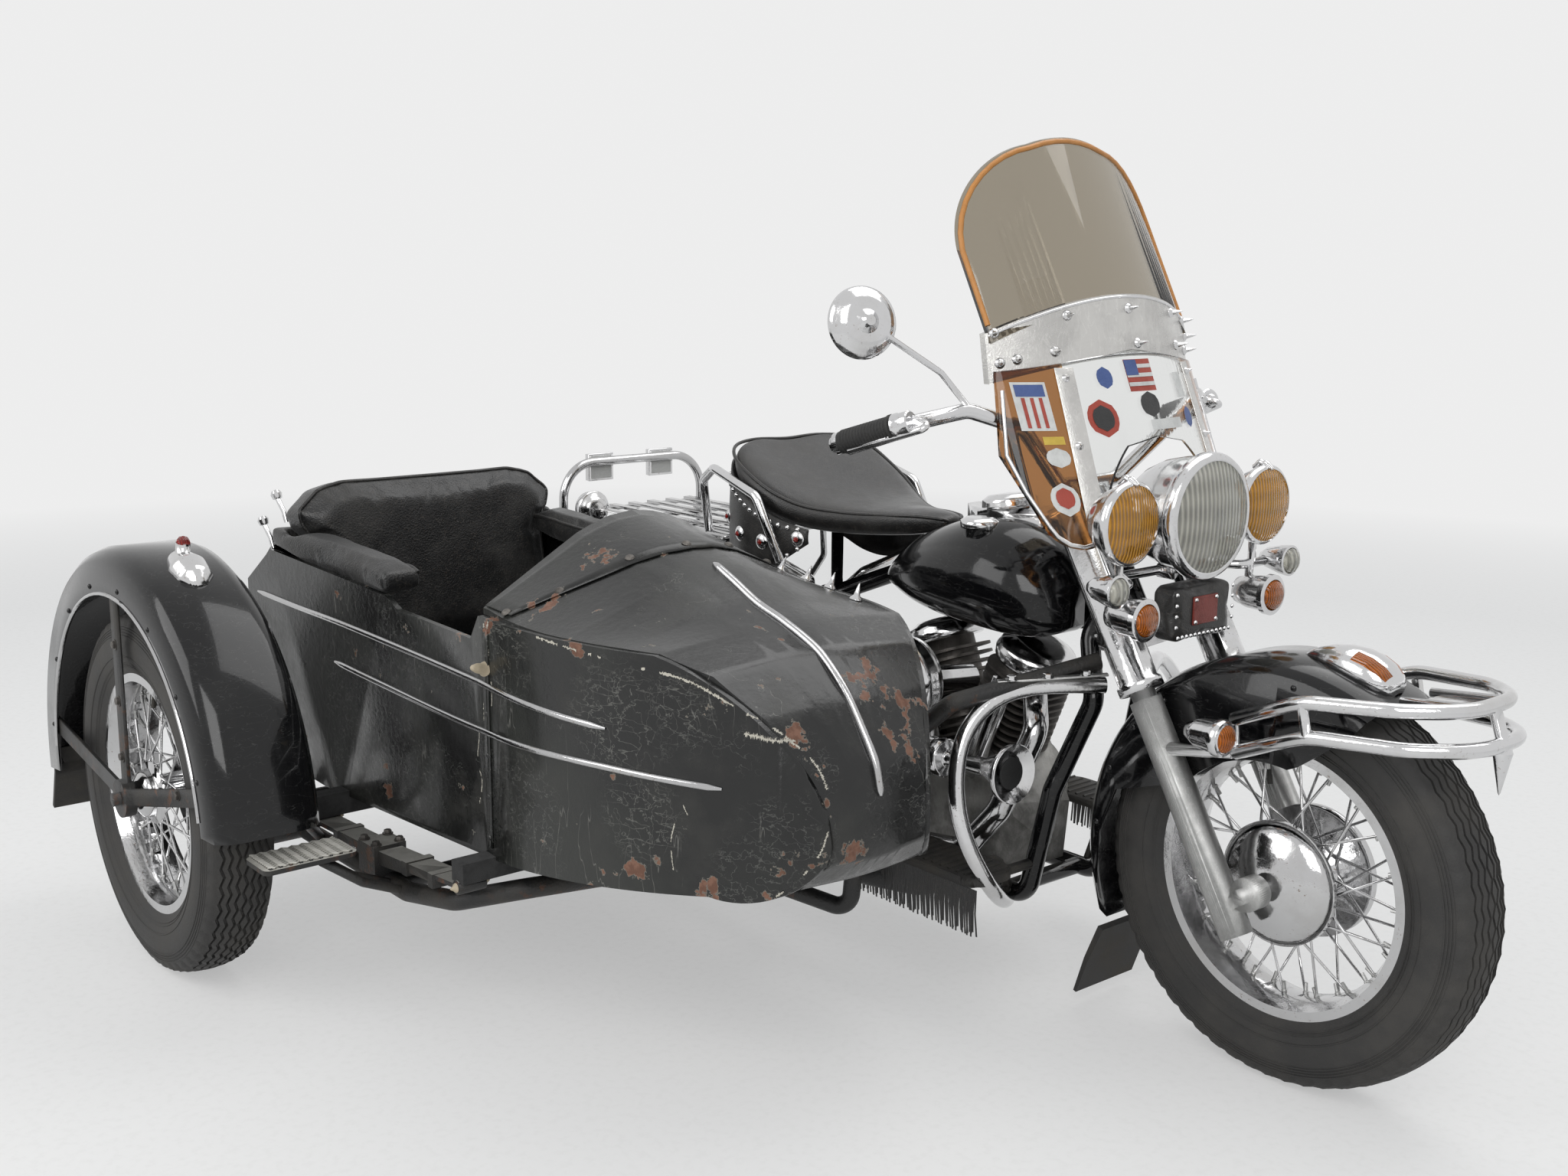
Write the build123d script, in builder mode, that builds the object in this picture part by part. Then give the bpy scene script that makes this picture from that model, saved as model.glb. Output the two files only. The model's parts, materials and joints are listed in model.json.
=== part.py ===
from build123d import *
import os
from math import cos, pi, radians, sin

# Sidecar motorcycle, millimetres. Stations are measured from the rear axle: x forward, y to the left of the
# motorcycle's own centre plane, z up from the floor. Every piece is moved at the end, so that the origin of
# the files lies on the floor under the middle of the whole machine.
MIDDLE_X, MIDDLE_Y = 680, -445

# Wheels and tyres, all three alike
WHEELBASE = 1511
TRACK = 1193
TYRE_R = 325
TYRE_HALF = 63.5
RIM_SEAT_R = 205
RIM_EDGE_R = 219
RIM_HALF = 47
RIM_WELL_R = 188
RIM_WELL_HALF = 16
SPOKES = 40
SPOKE_R = 2.2
SPOKE_LACE = 48
FLANGE_R = 56
FLANGE_Y = 34
HUB_R = 30
COVER_R = 98
DRUM_R = 104
SPROCKET_R = 122
AXLE_R = 12
RUNNING = 0.1
AXLE_Z = TYRE_R

# Steering head and fork
RAKE = 30.4
STEM_TO_LEGS = 57
LEGS_TO_AXLE = 54
LEG_Y = 115
SLIDER_R = 26
FORK_COVER_R = 33
STEM_R = 18
HEAD_R = 32
LOW_YOKE = 440
TOP_YOKE = 655
YOKE_T = 26
COVER_FOOT = 345

# Frame tubes
TUBE_R = 17
FRAME_HALF = 95
CRADLE_Z = 175

# Engine
CRANK_X, CRANK_Z = 850, 300
V_HALF = 22.5
BARREL_R = 52
FIN_R = 68
FINS = 11
FIN_PITCH = 15
FIN_T = 5
FIN_CORNER = 38

# Fenders
FENDER_T = 4

# Sidecar body
CAR_Y = -630
CAR_HALF = 290
WALL = 10
SEAM = 0.3

AXLE_LEAN = STEM_TO_LEGS + LEGS_TO_AXLE
UP_STEM = Vector(-sin(radians(RAKE)), 0, cos(radians(RAKE)))
FRONT_OF_STEM = Vector(cos(radians(RAKE)), 0, sin(radians(RAKE)))
STEM_FOOT = Vector(WHEELBASE, 0, AXLE_Z) - FRONT_OF_STEM * AXLE_LEAN
TO_FRAME = Location((-MIDDLE_X, -MIDDLE_Y, 0))


def on_fork(along, ahead=0, side=0):
    """Point at a distance up the fork from the axle's level, measured along the steering axis."""
    return STEM_FOOT + UP_STEM * along + FRONT_OF_STEM * ahead + Vector(0, side, 0)


def bar(points, radius, bend=0):
    """Round bar along straight runs, its corners bent to one radius."""
    with BuildPart() as rod:
        with BuildLine() as route:
            if bend:
                FilletPolyline(*points, radius=bend)
            else:
                Polyline(*points)
        with BuildSketch(Plane(origin=route.line @ 0, z_dir=route.line % 0)):
            Circle(radius)
        sweep()
    return rod.part


def bent_bar(points, radius):
    """Round bar that flows through its points."""
    with BuildPart() as rod:
        with BuildLine() as route:
            Spline(*points)
        with BuildSketch(Plane(origin=route.line @ 0, z_dir=route.line % 0)):
            Circle(radius)
        sweep()
    return rod.part


def turned(profile, centre, axis):
    """Solid of revolution: the profile lists distance along the axis and radius."""
    axis = Vector(*axis).normalized()
    across = Vector(0, 0, 1) if abs(axis.Z) < 0.9 else Vector(0, 1, 0)
    with BuildPart() as piece:
        with BuildSketch(Plane(origin=centre, x_dir=axis, z_dir=axis.cross(across))):
            with BuildLine():
                Polyline(*profile, close=True)
            make_face()
        revolve(axis=Axis(centre, axis))
    return piece.part


def plate(outline, side, thickness):
    """Flat plate in a plane of constant y: the outline lists x and z."""
    with BuildPart() as piece:
        with BuildSketch(Plane(origin=(0, side, 0), x_dir=(1, 0, 0), z_dir=(0, -1, 0))):
            with BuildLine():
                Polyline(*outline, close=True)
            make_face()
        extrude(amount=thickness / 2, both=True)
    return piece.part


CRUMB = 3000  # smallest loose solid that a cut may leave, in cubic mm


def fitted(piece, *neighbours):
    """Cut a piece to seat against its neighbours."""
    with BuildPart() as cut:
        add(piece)
        for neighbour in neighbours:
            add(neighbour, mode=Mode.SUBTRACT)
    kept = [solid for solid in cut.part.solids() if solid.volume > CRUMB]
    return cut.part if len(kept) == len(cut.part.solids()) else Compound(kept)


def save(piece, label):
    """Move a finished piece to the shared origin and write it under its name."""
    piece.label = label
    placed = piece.moved(TO_FRAME)
    placed.label = label
    export_step(placed, f"parts/{label}.step")


os.makedirs("parts", exist_ok=True)


# Tyre: seat on the rim, side walls and a crowned tread, turned about y
TYRE_HALF_SECTION = [  # half width, radius
    (RIM_HALF - 5, RIM_SEAT_R),
    (RIM_HALF - 0.5, RIM_EDGE_R + 1),
    (TYRE_HALF, TYRE_R - 62),
    (TYRE_HALF - 8, TYRE_R - 22),
    (22, TYRE_R),
]


def make_tyre(axle):
    section = TYRE_HALF_SECTION + [(-y, r) for y, r in reversed(TYRE_HALF_SECTION)]
    return turned(section, axle, (0, 1, 0))


# Rim with a drop centre, then hub and laced spokes
def make_rim(axle):
    half = [(RIM_HALF, RIM_EDGE_R), (RIM_HALF, RIM_SEAT_R - 5), (RIM_WELL_HALF, RIM_WELL_R)]
    seat = [(-(RIM_HALF - 5), RIM_SEAT_R - SEAM), (RIM_HALF - 5, RIM_SEAT_R - SEAM)]
    section = seat + half + [(-y, r) for y, r in reversed(half)]
    return turned(section, axle, (0, 1, 0))


def make_spokes(axle):
    spokes = []
    for i in range(SPOKES):
        side = 1 if i % 2 else -1
        lean = 1 if i % 4 < 2 else -1
        at_rim = radians(i * 360 / SPOKES)
        at_hub = at_rim + lean * radians(SPOKE_LACE)
        foot = Vector(cos(at_hub) * FLANGE_R * 0.9, side * FLANGE_Y, sin(at_hub) * FLANGE_R * 0.9)
        head = Vector(cos(at_rim) * (RIM_WELL_R + 3), side * 7, sin(at_rim) * (RIM_WELL_R + 3))
        spokes.append(bar([axle + foot, axle + head], SPOKE_R))
    return spokes


def make_wheel(axle, extras):
    """Rim, spokes and hub as one piece: extras list the hub's covers and drums as turned profiles."""
    bore = AXLE_R + RUNNING
    flange = [(FLANGE_Y - 4, FLANGE_R), (FLANGE_Y + 4, FLANGE_R)]
    spool = [(FLANGE_Y - 4, HUB_R)] + flange + [(FLANGE_Y + 4, bore)]
    section = spool + [(-y, r) for y, r in reversed(spool)]
    with BuildPart() as wheel:
        add(turned(section, axle, (0, 1, 0)))
        for profile in extras:
            add(turned(profile, axle, (0, 1, 0)))
        add(make_rim(axle))
        add(make_spokes(axle))
    return wheel.part


BORE = AXLE_R + RUNNING
RIGHT_COVER = [(-38, BORE), (-38, COVER_R), (-50, COVER_R), (-64, 84), (-76, 56), (-84, 24), (-84, BORE)]
LEFT_DRUM = [(38, BORE), (38, DRUM_R), (62, DRUM_R), (66, DRUM_R - 8), (66, BORE)]
SPROCKET = [(76, BORE), (76, 40), (80, SPROCKET_R), (86, SPROCKET_R), (88, 40), (88, BORE)]
DRUM_NECK = [(66, BORE), (66, 40), (76, 40), (76, BORE)]
SHORT_CAP = [(-38, BORE), (-38, 44), (-56, 40), (-66, 26), (-68, BORE)]
HUB_CAP = [(-38, BORE), (-38, 44), (-62, 40), (-76, 30), (-82, BORE)]
FRONT_AXLE = Vector(WHEELBASE, 0, AXLE_Z)
REAR_AXLE = Vector(0, 0, AXLE_Z)
CAR_AXLE = Vector(0, -TRACK, AXLE_Z)
WHEELS = [  # name, axle centre, hub covers
    ("front", FRONT_AXLE, [RIGHT_COVER, LEFT_DRUM]),
    ("rear", REAR_AXLE, [HUB_CAP, LEFT_DRUM, DRUM_NECK, SPROCKET]),
    ("sidecar", CAR_AXLE, [SHORT_CAP, LEFT_DRUM]),
]
for name, axle, extras in WHEELS:
    save(make_tyre(axle), f"{name}_tyre")
    save(make_wheel(axle, extras), f"{name}_wheel")


# Fork: sliders, axle and its lugs
with BuildPart() as fork_legs:
    for side in (-LEG_Y, LEG_Y):
        slider_top = on_fork(COVER_FOOT - 15, STEM_TO_LEGS, side)
        add(bar([on_fork(-55, STEM_TO_LEGS, side), slider_top], SLIDER_R))
        add(bar([slider_top, on_fork(COVER_FOOT, STEM_TO_LEGS, side)], SLIDER_R - 6))
        lug = Vector(WHEELBASE, side, AXLE_Z)
        add(turned([(-16, 0), (-16, 26), (16, 26), (16, 0)], lug, (0, 1, 0)))
        add(bar([lug, on_fork(-10, STEM_TO_LEGS, side)], 18))
    add(bar([(WHEELBASE, -LEG_Y - 30, AXLE_Z), (WHEELBASE, LEG_Y + 24, AXLE_Z)], AXLE_R))

# Headlight, turned about its own axis from the back to the lens
HEADLIGHT = Vector(1321, 0, 866)
HEADLIGHT_R = 102
with BuildPart() as headlight:
    add(turned(
        [(-150, 0), (-146, 36), (-118, 70), (-78, 88), (-24, 94), (-22, HEADLIGHT_R), (-4, HEADLIGHT_R),
         (0, HEADLIGHT_R - 12), (12, 56), (17, 0)],
        HEADLIGHT, (1, 0, 0)))

# Two round spot lamps beside it, two turn signals below and two bullet lamps further out
SPOT = Vector(1302, 172, 868)
SPOT_R = 66
SIGNAL = Vector(1325, 164, 722)
BULLET = Vector(1318, 222, 772)
with BuildPart() as spot_lamps:
    for side in (-1, 1):
        add(turned(
            [(-74, 0), (-70, 26), (-44, 52), (-18, 60), (-16, SPOT_R), (0, SPOT_R), (4, 50), (14, 0)],
            (SPOT.X, side * SPOT.Y, SPOT.Z), (1, 0, 0)))
with BuildPart() as small_lamps:
    for side in (-1, 1):
        add(turned(
            [(-70, 0), (-66, 24), (-6, 30), (-4, 34), (6, 34), (14, 24), (18, 0)],
            (SIGNAL.X, side * SIGNAL.Y, SIGNAL.Z), (1, 0, 0)))
        add(turned(
            [(-60, 0), (-44, 16), (-16, 24), (0, 26), (12, 18), (18, 0)],
            (BULLET.X, side * BULLET.Y, BULLET.Z), (1, 0, 0)))

# Upper fork covers, both yokes, the stem and the bar that carries the lamps
LAMP_BAR_R = 8
with BuildPart() as fork_covers_whole:
    for side in (-LEG_Y, LEG_Y):
        profile = [(0, 0), (0, FORK_COVER_R + 4), (14, FORK_COVER_R + 4), (18, FORK_COVER_R)]
        top = TOP_YOKE - COVER_FOOT
        profile += [(top, FORK_COVER_R), (top, 0)]
        add(turned(profile, on_fork(COVER_FOOT, STEM_TO_LEGS, side), tuple(UP_STEM)))
    for along in (LOW_YOKE, TOP_YOKE):
        with BuildPart() as yoke:
            with BuildSketch(Plane(origin=on_fork(along), x_dir=FRONT_OF_STEM, z_dir=UP_STEM)):
                with BuildLine():
                    Polyline(
                        (STEM_TO_LEGS + 34, -LEG_Y - 10), (STEM_TO_LEGS + 34, LEG_Y + 10),
                        (STEM_TO_LEGS - 20, LEG_Y + 36), (-30, 30), (-30, -30),
                        (STEM_TO_LEGS - 20, -LEG_Y - 36), close=True)
                make_face()
            extrude(amount=YOKE_T / 2, both=True)
        add(yoke.part)
    add(bar([on_fork(LOW_YOKE), on_fork(TOP_YOKE)], STEM_R))
    lamp_bar_z = SIGNAL.Z + 46
    lamp_bar_x = SPOT.X - 24
    add(bar(
        [(lamp_bar_x, -BULLET.Y, lamp_bar_z), (lamp_bar_x, -SPOT.Y + 26, lamp_bar_z),
         (lamp_bar_x - 54, -LEG_Y + 12, lamp_bar_z), (lamp_bar_x - 54, LEG_Y - 12, lamp_bar_z),
         (lamp_bar_x, SPOT.Y - 26, lamp_bar_z), (lamp_bar_x, BULLET.Y, lamp_bar_z)], LAMP_BAR_R, 18))
    for side in (-1, 1):
        add(bar([(lamp_bar_x, side * SPOT.Y, lamp_bar_z), (lamp_bar_x, side * SPOT.Y, SPOT.Z)],
                LAMP_BAR_R - 1))
        add(bar([(lamp_bar_x + 2, side * SIGNAL.Y, lamp_bar_z + 4),
                 (lamp_bar_x + 2, side * SIGNAL.Y, SIGNAL.Z)],
                LAMP_BAR_R - 1))
    add(bar([(HEADLIGHT.X - 70, 0, lamp_bar_z), (HEADLIGHT.X - 70, 0, HEADLIGHT.Z)], 14))
    add(bar([(lamp_bar_x - 54, 0, lamp_bar_z), (HEADLIGHT.X - 70, 0, lamp_bar_z)], 13))
fork_covers = fitted(fork_covers_whole.part, headlight.part, spot_lamps.part, small_lamps.part)

# Handlebar with its risers, grips, one round mirror and the levers
BAR_R = 12.7
GRIP_R = 18
BAR_CENTRE = on_fork(TOP_YOKE + 62, 10)
GRIP_INNER = Vector(1003, 384, 1006)
GRIP_OUTER = Vector(886, 415, 968)
MIRROR = Vector(1000, -462, 1167)
MIRROR_R = 55
with BuildPart() as handlebar:
    for side in (-1, 1):
        inner = Vector(GRIP_INNER.X, side * GRIP_INNER.Y, GRIP_INNER.Z)
        outer = Vector(GRIP_OUTER.X, side * GRIP_OUTER.Y, GRIP_OUTER.Z)
        route = [
            BAR_CENTRE, BAR_CENTRE + Vector(2, side * 70, 2), Vector(1096, side * 200, 1000),
            Vector(1060, side * 288, 1030), inner, outer]
        add(bar(route, BAR_R, 38))
        add(bar([outer + (inner - outer) * 0.06, inner - (inner - outer) * 0.02], GRIP_R))
        lever_root = inner + Vector(26, -side * 24, 6)
        add(bar([lever_root, lever_root + Vector(34, side * 10, -2), outer + Vector(44, side * 6, -6)], 6,
                8))
        add(bar([inner + (inner - outer) * 0.2, lever_root + Vector(12, 0, 0)], 11))
        add(bar([on_fork(TOP_YOKE + YOKE_T / 2, 10, side * 40), on_fork(TOP_YOKE + 62, 10, side * 40)], 13))
    stem_root = Vector(1062, -280, 1026)
    add(bar([stem_root, Vector(1050, -340, 1090), MIRROR + Vector(14, -4, 2)], 5, 30))
    add(turned([(-24, 0), (-20, MIRROR_R - 18), (-6, MIRROR_R), (0, MIRROR_R), (0, 0)],
               MIRROR, (-0.94, 0.3, -0.16)))

# Windshield: a curved pane leaning back, a metal band, and tinted wings below
SCREEN_BEND_R = 410
PANE_T = 5
BAND_LOW, BAND_HIGH = 1109, 1209
SCREEN_HALF = 250
PANE_TOP = 1461


def curved_sheet(foot, head, radius, thickness):
    """Sheet bent round an upright axis behind it, rising from foot to head."""
    rise = (head - foot).normalized()
    plane = Plane(origin=foot, x_dir=(0, 1, 0), z_dir=rise)
    with BuildPart() as sheet:
        with BuildSketch(plane):
            with Locations((0, radius)):
                Circle(radius)
                Circle(radius - thickness, mode=Mode.SUBTRACT)
        extrude(amount=(head - foot).length)
    return sheet.part


def screen_piece(foot, head, edge, thickness=PANE_T):
    """Piece of a curved sheet inside a front outline, whose edge is drawn by a function in y and z."""
    with BuildPart() as piece:
        add(curved_sheet(foot, head, SCREEN_BEND_R, thickness))
        with BuildPart(mode=Mode.PRIVATE) as block:
            with BuildSketch(Plane(origin=(MIDDLE_X, 0, 0), x_dir=(0, 1, 0), z_dir=(1, 0, 0))):
                with BuildLine():
                    edge()
                make_face()
            extrude(amount=SCREEN_BEND_R * 2)
        add(block.part, mode=Mode.INTERSECT)
    return piece.part


def band_edge():
    ThreePointArc((-SCREEN_HALF, BAND_HIGH - 62), (0, BAND_HIGH), (SCREEN_HALF, BAND_HIGH - 62))
    Line((SCREEN_HALF, BAND_HIGH - 62), (SCREEN_HALF, BAND_LOW - 40))
    ThreePointArc((SCREEN_HALF, BAND_LOW - 40), (0, BAND_LOW), (-SCREEN_HALF, BAND_LOW - 40))
    Line((-SCREEN_HALF, BAND_LOW - 40), (-SCREEN_HALF, BAND_HIGH - 62))


def pane_edge():
    half, low, shoulder = SCREEN_HALF - 4, BAND_HIGH - 76, 1276
    ThreePointArc((-half, low), (0, BAND_HIGH - 14), (half, low))
    Line((half, low), (half, shoulder))
    ThreePointArc((half, shoulder), (half * 0.76, 1398), (half * 0.36, PANE_TOP - 14))
    ThreePointArc((half * 0.36, PANE_TOP - 14), (0, PANE_TOP), (-half * 0.36, PANE_TOP - 14))
    ThreePointArc((-half * 0.36, PANE_TOP - 14), (-half * 0.76, 1398), (-half, shoulder))
    Line((-half, shoulder), (-half, low))


def wings_edge():
    """Low on both sides, with a bay between them for the headlight."""
    for side in (-1, 1):
        Line((0, 984), (side * 70, 972))
        ThreePointArc((side * 70, 972), (side * 122, 912), (side * 148, 852))
        ThreePointArc((side * 148, 852), (side * 190, 820), (side * 232, 852))
        Line((side * 232, 852), (side * (SCREEN_HALF + 14), 960))
        Line((side * (SCREEN_HALF + 14), 960), (side * (SCREEN_HALF - 6), BAND_LOW - 20))
        Line((side * (SCREEN_HALF - 6), BAND_LOW - 20), (0, BAND_LOW + 12))


BAND_FOOT = Vector(1157, 0, BAND_LOW - 60)
BAND_HEAD = Vector(1120, 0, BAND_HIGH + 60)
windshield_band = screen_piece(BAND_FOOT, BAND_HEAD, band_edge, 9)
PANE_FOOT = Vector(1160, 0, BAND_HIGH - 80)
PANE_HEAD = Vector(980, 0, 1475)
windshield_pane_whole = screen_piece(PANE_FOOT, PANE_HEAD, pane_edge)
WING_FOOT = Vector(1292, 0, 780)
WING_HEAD = Vector(1125, 0, 1180)
windshield_wings_whole = screen_piece(WING_FOOT, WING_HEAD, wings_edge)
windshield_pane = fitted(windshield_pane_whole, windshield_band)
windshield_wings = fitted(windshield_wings_whole, windshield_band, windshield_pane)

# Pouch below the headlight
with BuildPart() as pouch_whole:
    with BuildSketch(Plane(origin=(1290, 0, 700), x_dir=(0, 1, 0), z_dir=(1, 0, 0))):
        RectangleRounded(156, 120, 22)
    extrude(amount=24, both=True)
pouch = fitted(pouch_whole.part, fork_covers)


# Fenders: a crowned section with side skirts, turned about the axle and then cut to its outline
def swept_fender(axle, inner_r, half, skirt, start, sweep):
    side = [(half, inner_r - skirt), (half, inner_r - 18)]
    top = [(half - 14, inner_r - 2), (half - 34, inner_r + 6)]
    crown = side + top
    inner = [(y - FENDER_T, r) for y, r in side] + [(y - FENDER_T / 2, r - FENDER_T) for y, r in top]
    ring = crown + [(-y, r) for y, r in reversed(crown)]
    ring += [(-y, r) for y, r in inner] + list(reversed(inner))
    ahead = Vector(cos(radians(start)), 0, sin(radians(start)))
    with BuildPart() as fender:
        with BuildSketch(Plane(origin=axle, x_dir=(0, 1, 0), z_dir=Vector(0, 1, 0).cross(ahead))):
            with BuildLine():
                Polyline(*ring, close=True)
            make_face()
        revolve(axis=Axis(axle, (0, -1, 0)), revolution_arc=sweep)
    return fender.part


FRONT_FENDER_R = 349
FRONT_FENDER_HALF = LEG_Y - SLIDER_R - 0.3
with BuildPart() as front_fender:
    add(swept_fender(FRONT_AXLE, FRONT_FENDER_R, FRONT_FENDER_HALF, 150, 56, 152))
    add(plate([(1700, 660), (1640, 590), (1560, 530), (1460, 482), (1345, 451), (1225, 412), (1192, 330),
               (1190, 60), (1900, 60), (1900, 660)], 0, 400), mode=Mode.SUBTRACT)
front_fender_piece = fitted(front_fender.part, fork_legs.part)

# Rubber flap below the tip of the fender
with BuildPart() as front_mudflap:
    add(plate([(1201, 156), (1190, 160), (1163, 95), (1142, 28), (1148, 26), (1172, 92)], 0, 150))

# Teardrop lamp on the fender's crown
with BuildPart() as front_fender_lamp_whole:
    add(turned([(-92, 0), (-60, 12), (-20, 22), (12, 26), (34, 20), (44, 0)],
               (1632, 0, 660), (0.87, 0, -0.5)))
front_crown = turned([(-90, 0), (-90, FRONT_FENDER_R + 5), (90, FRONT_FENDER_R + 5), (90, 0)], FRONT_AXLE,
                     (0, 1, 0))
front_fender_lamp = fitted(front_fender_lamp_whole.part, front_fender_piece, front_crown)

# Bumper: two rails that loop round the tyre, tied by struts and held on the fender and the fork
RAIL_R = 11
BUMPER_RAILS = [  # front x, front z, corner x, corner z, rear x, rear z
    (1806, 662, 1600, 648, 1470, 590),
    (1824, 610, 1612, 600, 1476, 540),
]
RAIL_BEND = 96
BUMPER_LAMP = Vector(1452, 154, 566)
with BuildPart() as bumper_whole:
    for front_x, front_z, corner_x, corner_z, rear_x, rear_z in BUMPER_RAILS:
        route = []
        for side in (-1, 1):
            half = [(rear_x, side * (LEG_Y + 8), rear_z), (corner_x, side * 150, corner_z),
                    (front_x - 70, side * 122, front_z - 4), (front_x, side * 62, front_z)]
            route += half if side < 0 else half[::-1]
        add(bar(route, RAIL_R, RAIL_BEND))
    upper, lower = BUMPER_RAILS
    for side in (-1, 1):
        add(bar([(upper[2], side * 150, upper[3]), (lower[2], side * 150, lower[3])], 8))
        add(bar([(upper[4], side * (LEG_Y + 8), upper[5]), (lower[4], side * (LEG_Y + 8), lower[5])], 8))
        slider_hold = Vector(upper[4], side * (LEG_Y + 8), lower[5])
        along_leg = (slider_hold.Z - on_fork(0, STEM_TO_LEGS).Z) / UP_STEM.Z
        add(bar([slider_hold, on_fork(along_leg - 30, STEM_TO_LEGS, side * (LEG_Y + 8))], RAIL_R))
        add(bar([(1700, side * 40, upper[1] - 18), (1700, side * 40, 640)], 7))
    add(bar([(upper[0], 0, upper[1]), (lower[0], 0, lower[1])], 9))
    for side in (-1, 1):
        add(bar([(upper[0], side * 40, upper[1]), (1690, side * 40, 650)], 7))
    add(turned([(0, 0), (0, 10), (-12, 14), (-70, 2), (-74, 0)], (lower[0], 0, lower[1]), (0, 0, 1)))
    for side in (-1, 1):
        add(turned([(-46, 0), (-40, 12), (-20, 22), (10, 25), (14, 28), (22, 28), (28, 20), (34, 0)],
                   (BUMPER_LAMP.X, side * BUMPER_LAMP.Y, BUMPER_LAMP.Z), (1, 0, 0)))
        add(bar([(BUMPER_LAMP.X - 8, side * BUMPER_LAMP.Y, BUMPER_LAMP.Z),
                 (lower[4], side * (LEG_Y + 8), lower[5] + 8)],
                8))
bumper = fitted(bumper_whole.part, front_fender_piece, front_fender_lamp, fork_legs.part)


# Motorcycle frame: head tube, backbone, two bowed downtubes that run back as the cradle, and the rear stays
BACKBONE_Z = 706
SEAT_POST_X = 430
STAY_R = 13
STAY_Y = 114
with BuildPart() as bike_frame_whole:
    add(bar([on_fork(LOW_YOKE + YOKE_T / 2 + 2), on_fork(TOP_YOKE - YOKE_T / 2 - 2)], HEAD_R))
    add(bar([on_fork(560, -8), Vector(950, 0, BACKBONE_Z + 12), Vector(640, 0, BACKBONE_Z - 20),
             Vector(SEAT_POST_X, 0, 604)], TUBE_R, 60))
    for side in (-1, 1):
        add(bar([on_fork(LOW_YOKE + 95, -8, side * 6), Vector(1112, side * 34, 640),
                 Vector(1150, side * 62, 540), Vector(1096, side * FRAME_HALF, 380),
                 Vector(1046, side * FRAME_HALF, CRADLE_Z), Vector(300, side * FRAME_HALF, CRADLE_Z),
                 Vector(120, side * STAY_Y, 262), Vector(0, side * STAY_Y, AXLE_Z)], TUBE_R, 40))
        add(bar([Vector(SEAT_POST_X - 4, side * 14, 606), Vector(SEAT_POST_X - 60, side * STAY_Y, 560),
                 Vector(0, side * STAY_Y, AXLE_Z)], STAY_R, 30))
        add(bar([Vector(SEAT_POST_X + 4, side * 9, 590), Vector(400, side * 48, CRADLE_Z)], TUBE_R - 4))
        add(turned([(-9, 0), (-9, 40), (9, 40), (9, 0)], (0, side * STAY_Y, AXLE_Z), (0, 1, 0)))
    for x in (400, 700, 1000):
        add(bar([(x, -FRAME_HALF, CRADLE_Z), (x, FRAME_HALF, CRADLE_Z)], TUBE_R - 2))
    add(bar([(SEAT_POST_X, 0, 560), (SEAT_POST_X, 0, 790)], 12))
    add(bar([(SEAT_POST_X, -30, 602), (SEAT_POST_X, 30, 602)], 22))
    add(bar([(700, 0, 680), (700, 0, 790)], 10))
    add(bar([(0, -STAY_Y - 24, AXLE_Z), (0, STAY_Y + 24, AXLE_Z)], AXLE_R))
    add(bar([on_fork(LOW_YOKE), on_fork(TOP_YOKE)], STEM_R + RUNNING), mode=Mode.SUBTRACT)

# Engine case with gearbox, its timing cover on the right
CASE_FLOOR = CRADLE_Z + TUBE_R - 2
CASE_HALF = 74
with BuildPart() as engine_case_whole:
    with BuildSketch(Plane(origin=(0, 0, 0), x_dir=(1, 0, 0), z_dir=(0, -1, 0))):
        with BuildLine():
            Polyline((980, CASE_FLOOR), (990, 300), (940, 400), (760, 400), (726, 372), (700, 398),
                     (540, 398), (516, 340), (516, 236), (560, CASE_FLOOR), close=True)
        make_face()
    extrude(amount=CASE_HALF, both=True)
    with BuildSketch(Plane(origin=(0, -CASE_HALF, 0), x_dir=(1, 0, 0), z_dir=(0, -1, 0))):
        with BuildLine():
            Polyline((760, 226), (850, 206), (930, 232), (985, 330), (960, 378), (880, 392), (780, 372),
                     (744, 300), close=True)
        make_face()
    extrude(amount=26)
with BuildPart() as primary_cover:
    with BuildSketch(Plane(origin=(0, CASE_HALF, 0), x_dir=(1, 0, 0), z_dir=(0, -1, 0))):
        with Locations((CRANK_X, CRANK_Z)):
            Circle(82)
        with Locations((600, CRANK_Z + 6)):
            Circle(100)
        with BuildLine():
            Polyline((CRANK_X, CRANK_Z + 82), (600, CRANK_Z + 106), (600, CRANK_Z - 94),
                     (CRANK_X, CRANK_Z - 82), close=True)
        make_face()
    extrude(amount=-62)

# Cylinders in a vee: fins with round corners on a plain core
CYLINDER_TOP = 286
BARREL_START = 84
VEE = [-V_HALF, V_HALF]
CRANK = Vector(CRANK_X, 0, CRANK_Z)
with BuildPart() as cylinders_whole:
    for lean in VEE:
        up = Vector(sin(radians(lean)), 0, cos(radians(lean)))
        core = Plane(origin=CRANK + up * BARREL_START, x_dir=(0, 1, 0), z_dir=up)
        with BuildSketch(core):
            Circle(BARREL_R)
        extrude(amount=CYLINDER_TOP - BARREL_START)
        for i in range(FINS):
            station = BARREL_START + 26 + i * FIN_PITCH
            with BuildSketch(Plane(origin=CRANK + up * station, x_dir=(0, 1, 0), z_dir=up)):
                RectangleRounded(2 * FIN_R, 2 * FIN_R - 6, FIN_CORNER)
            extrude(amount=FIN_T)

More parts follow.
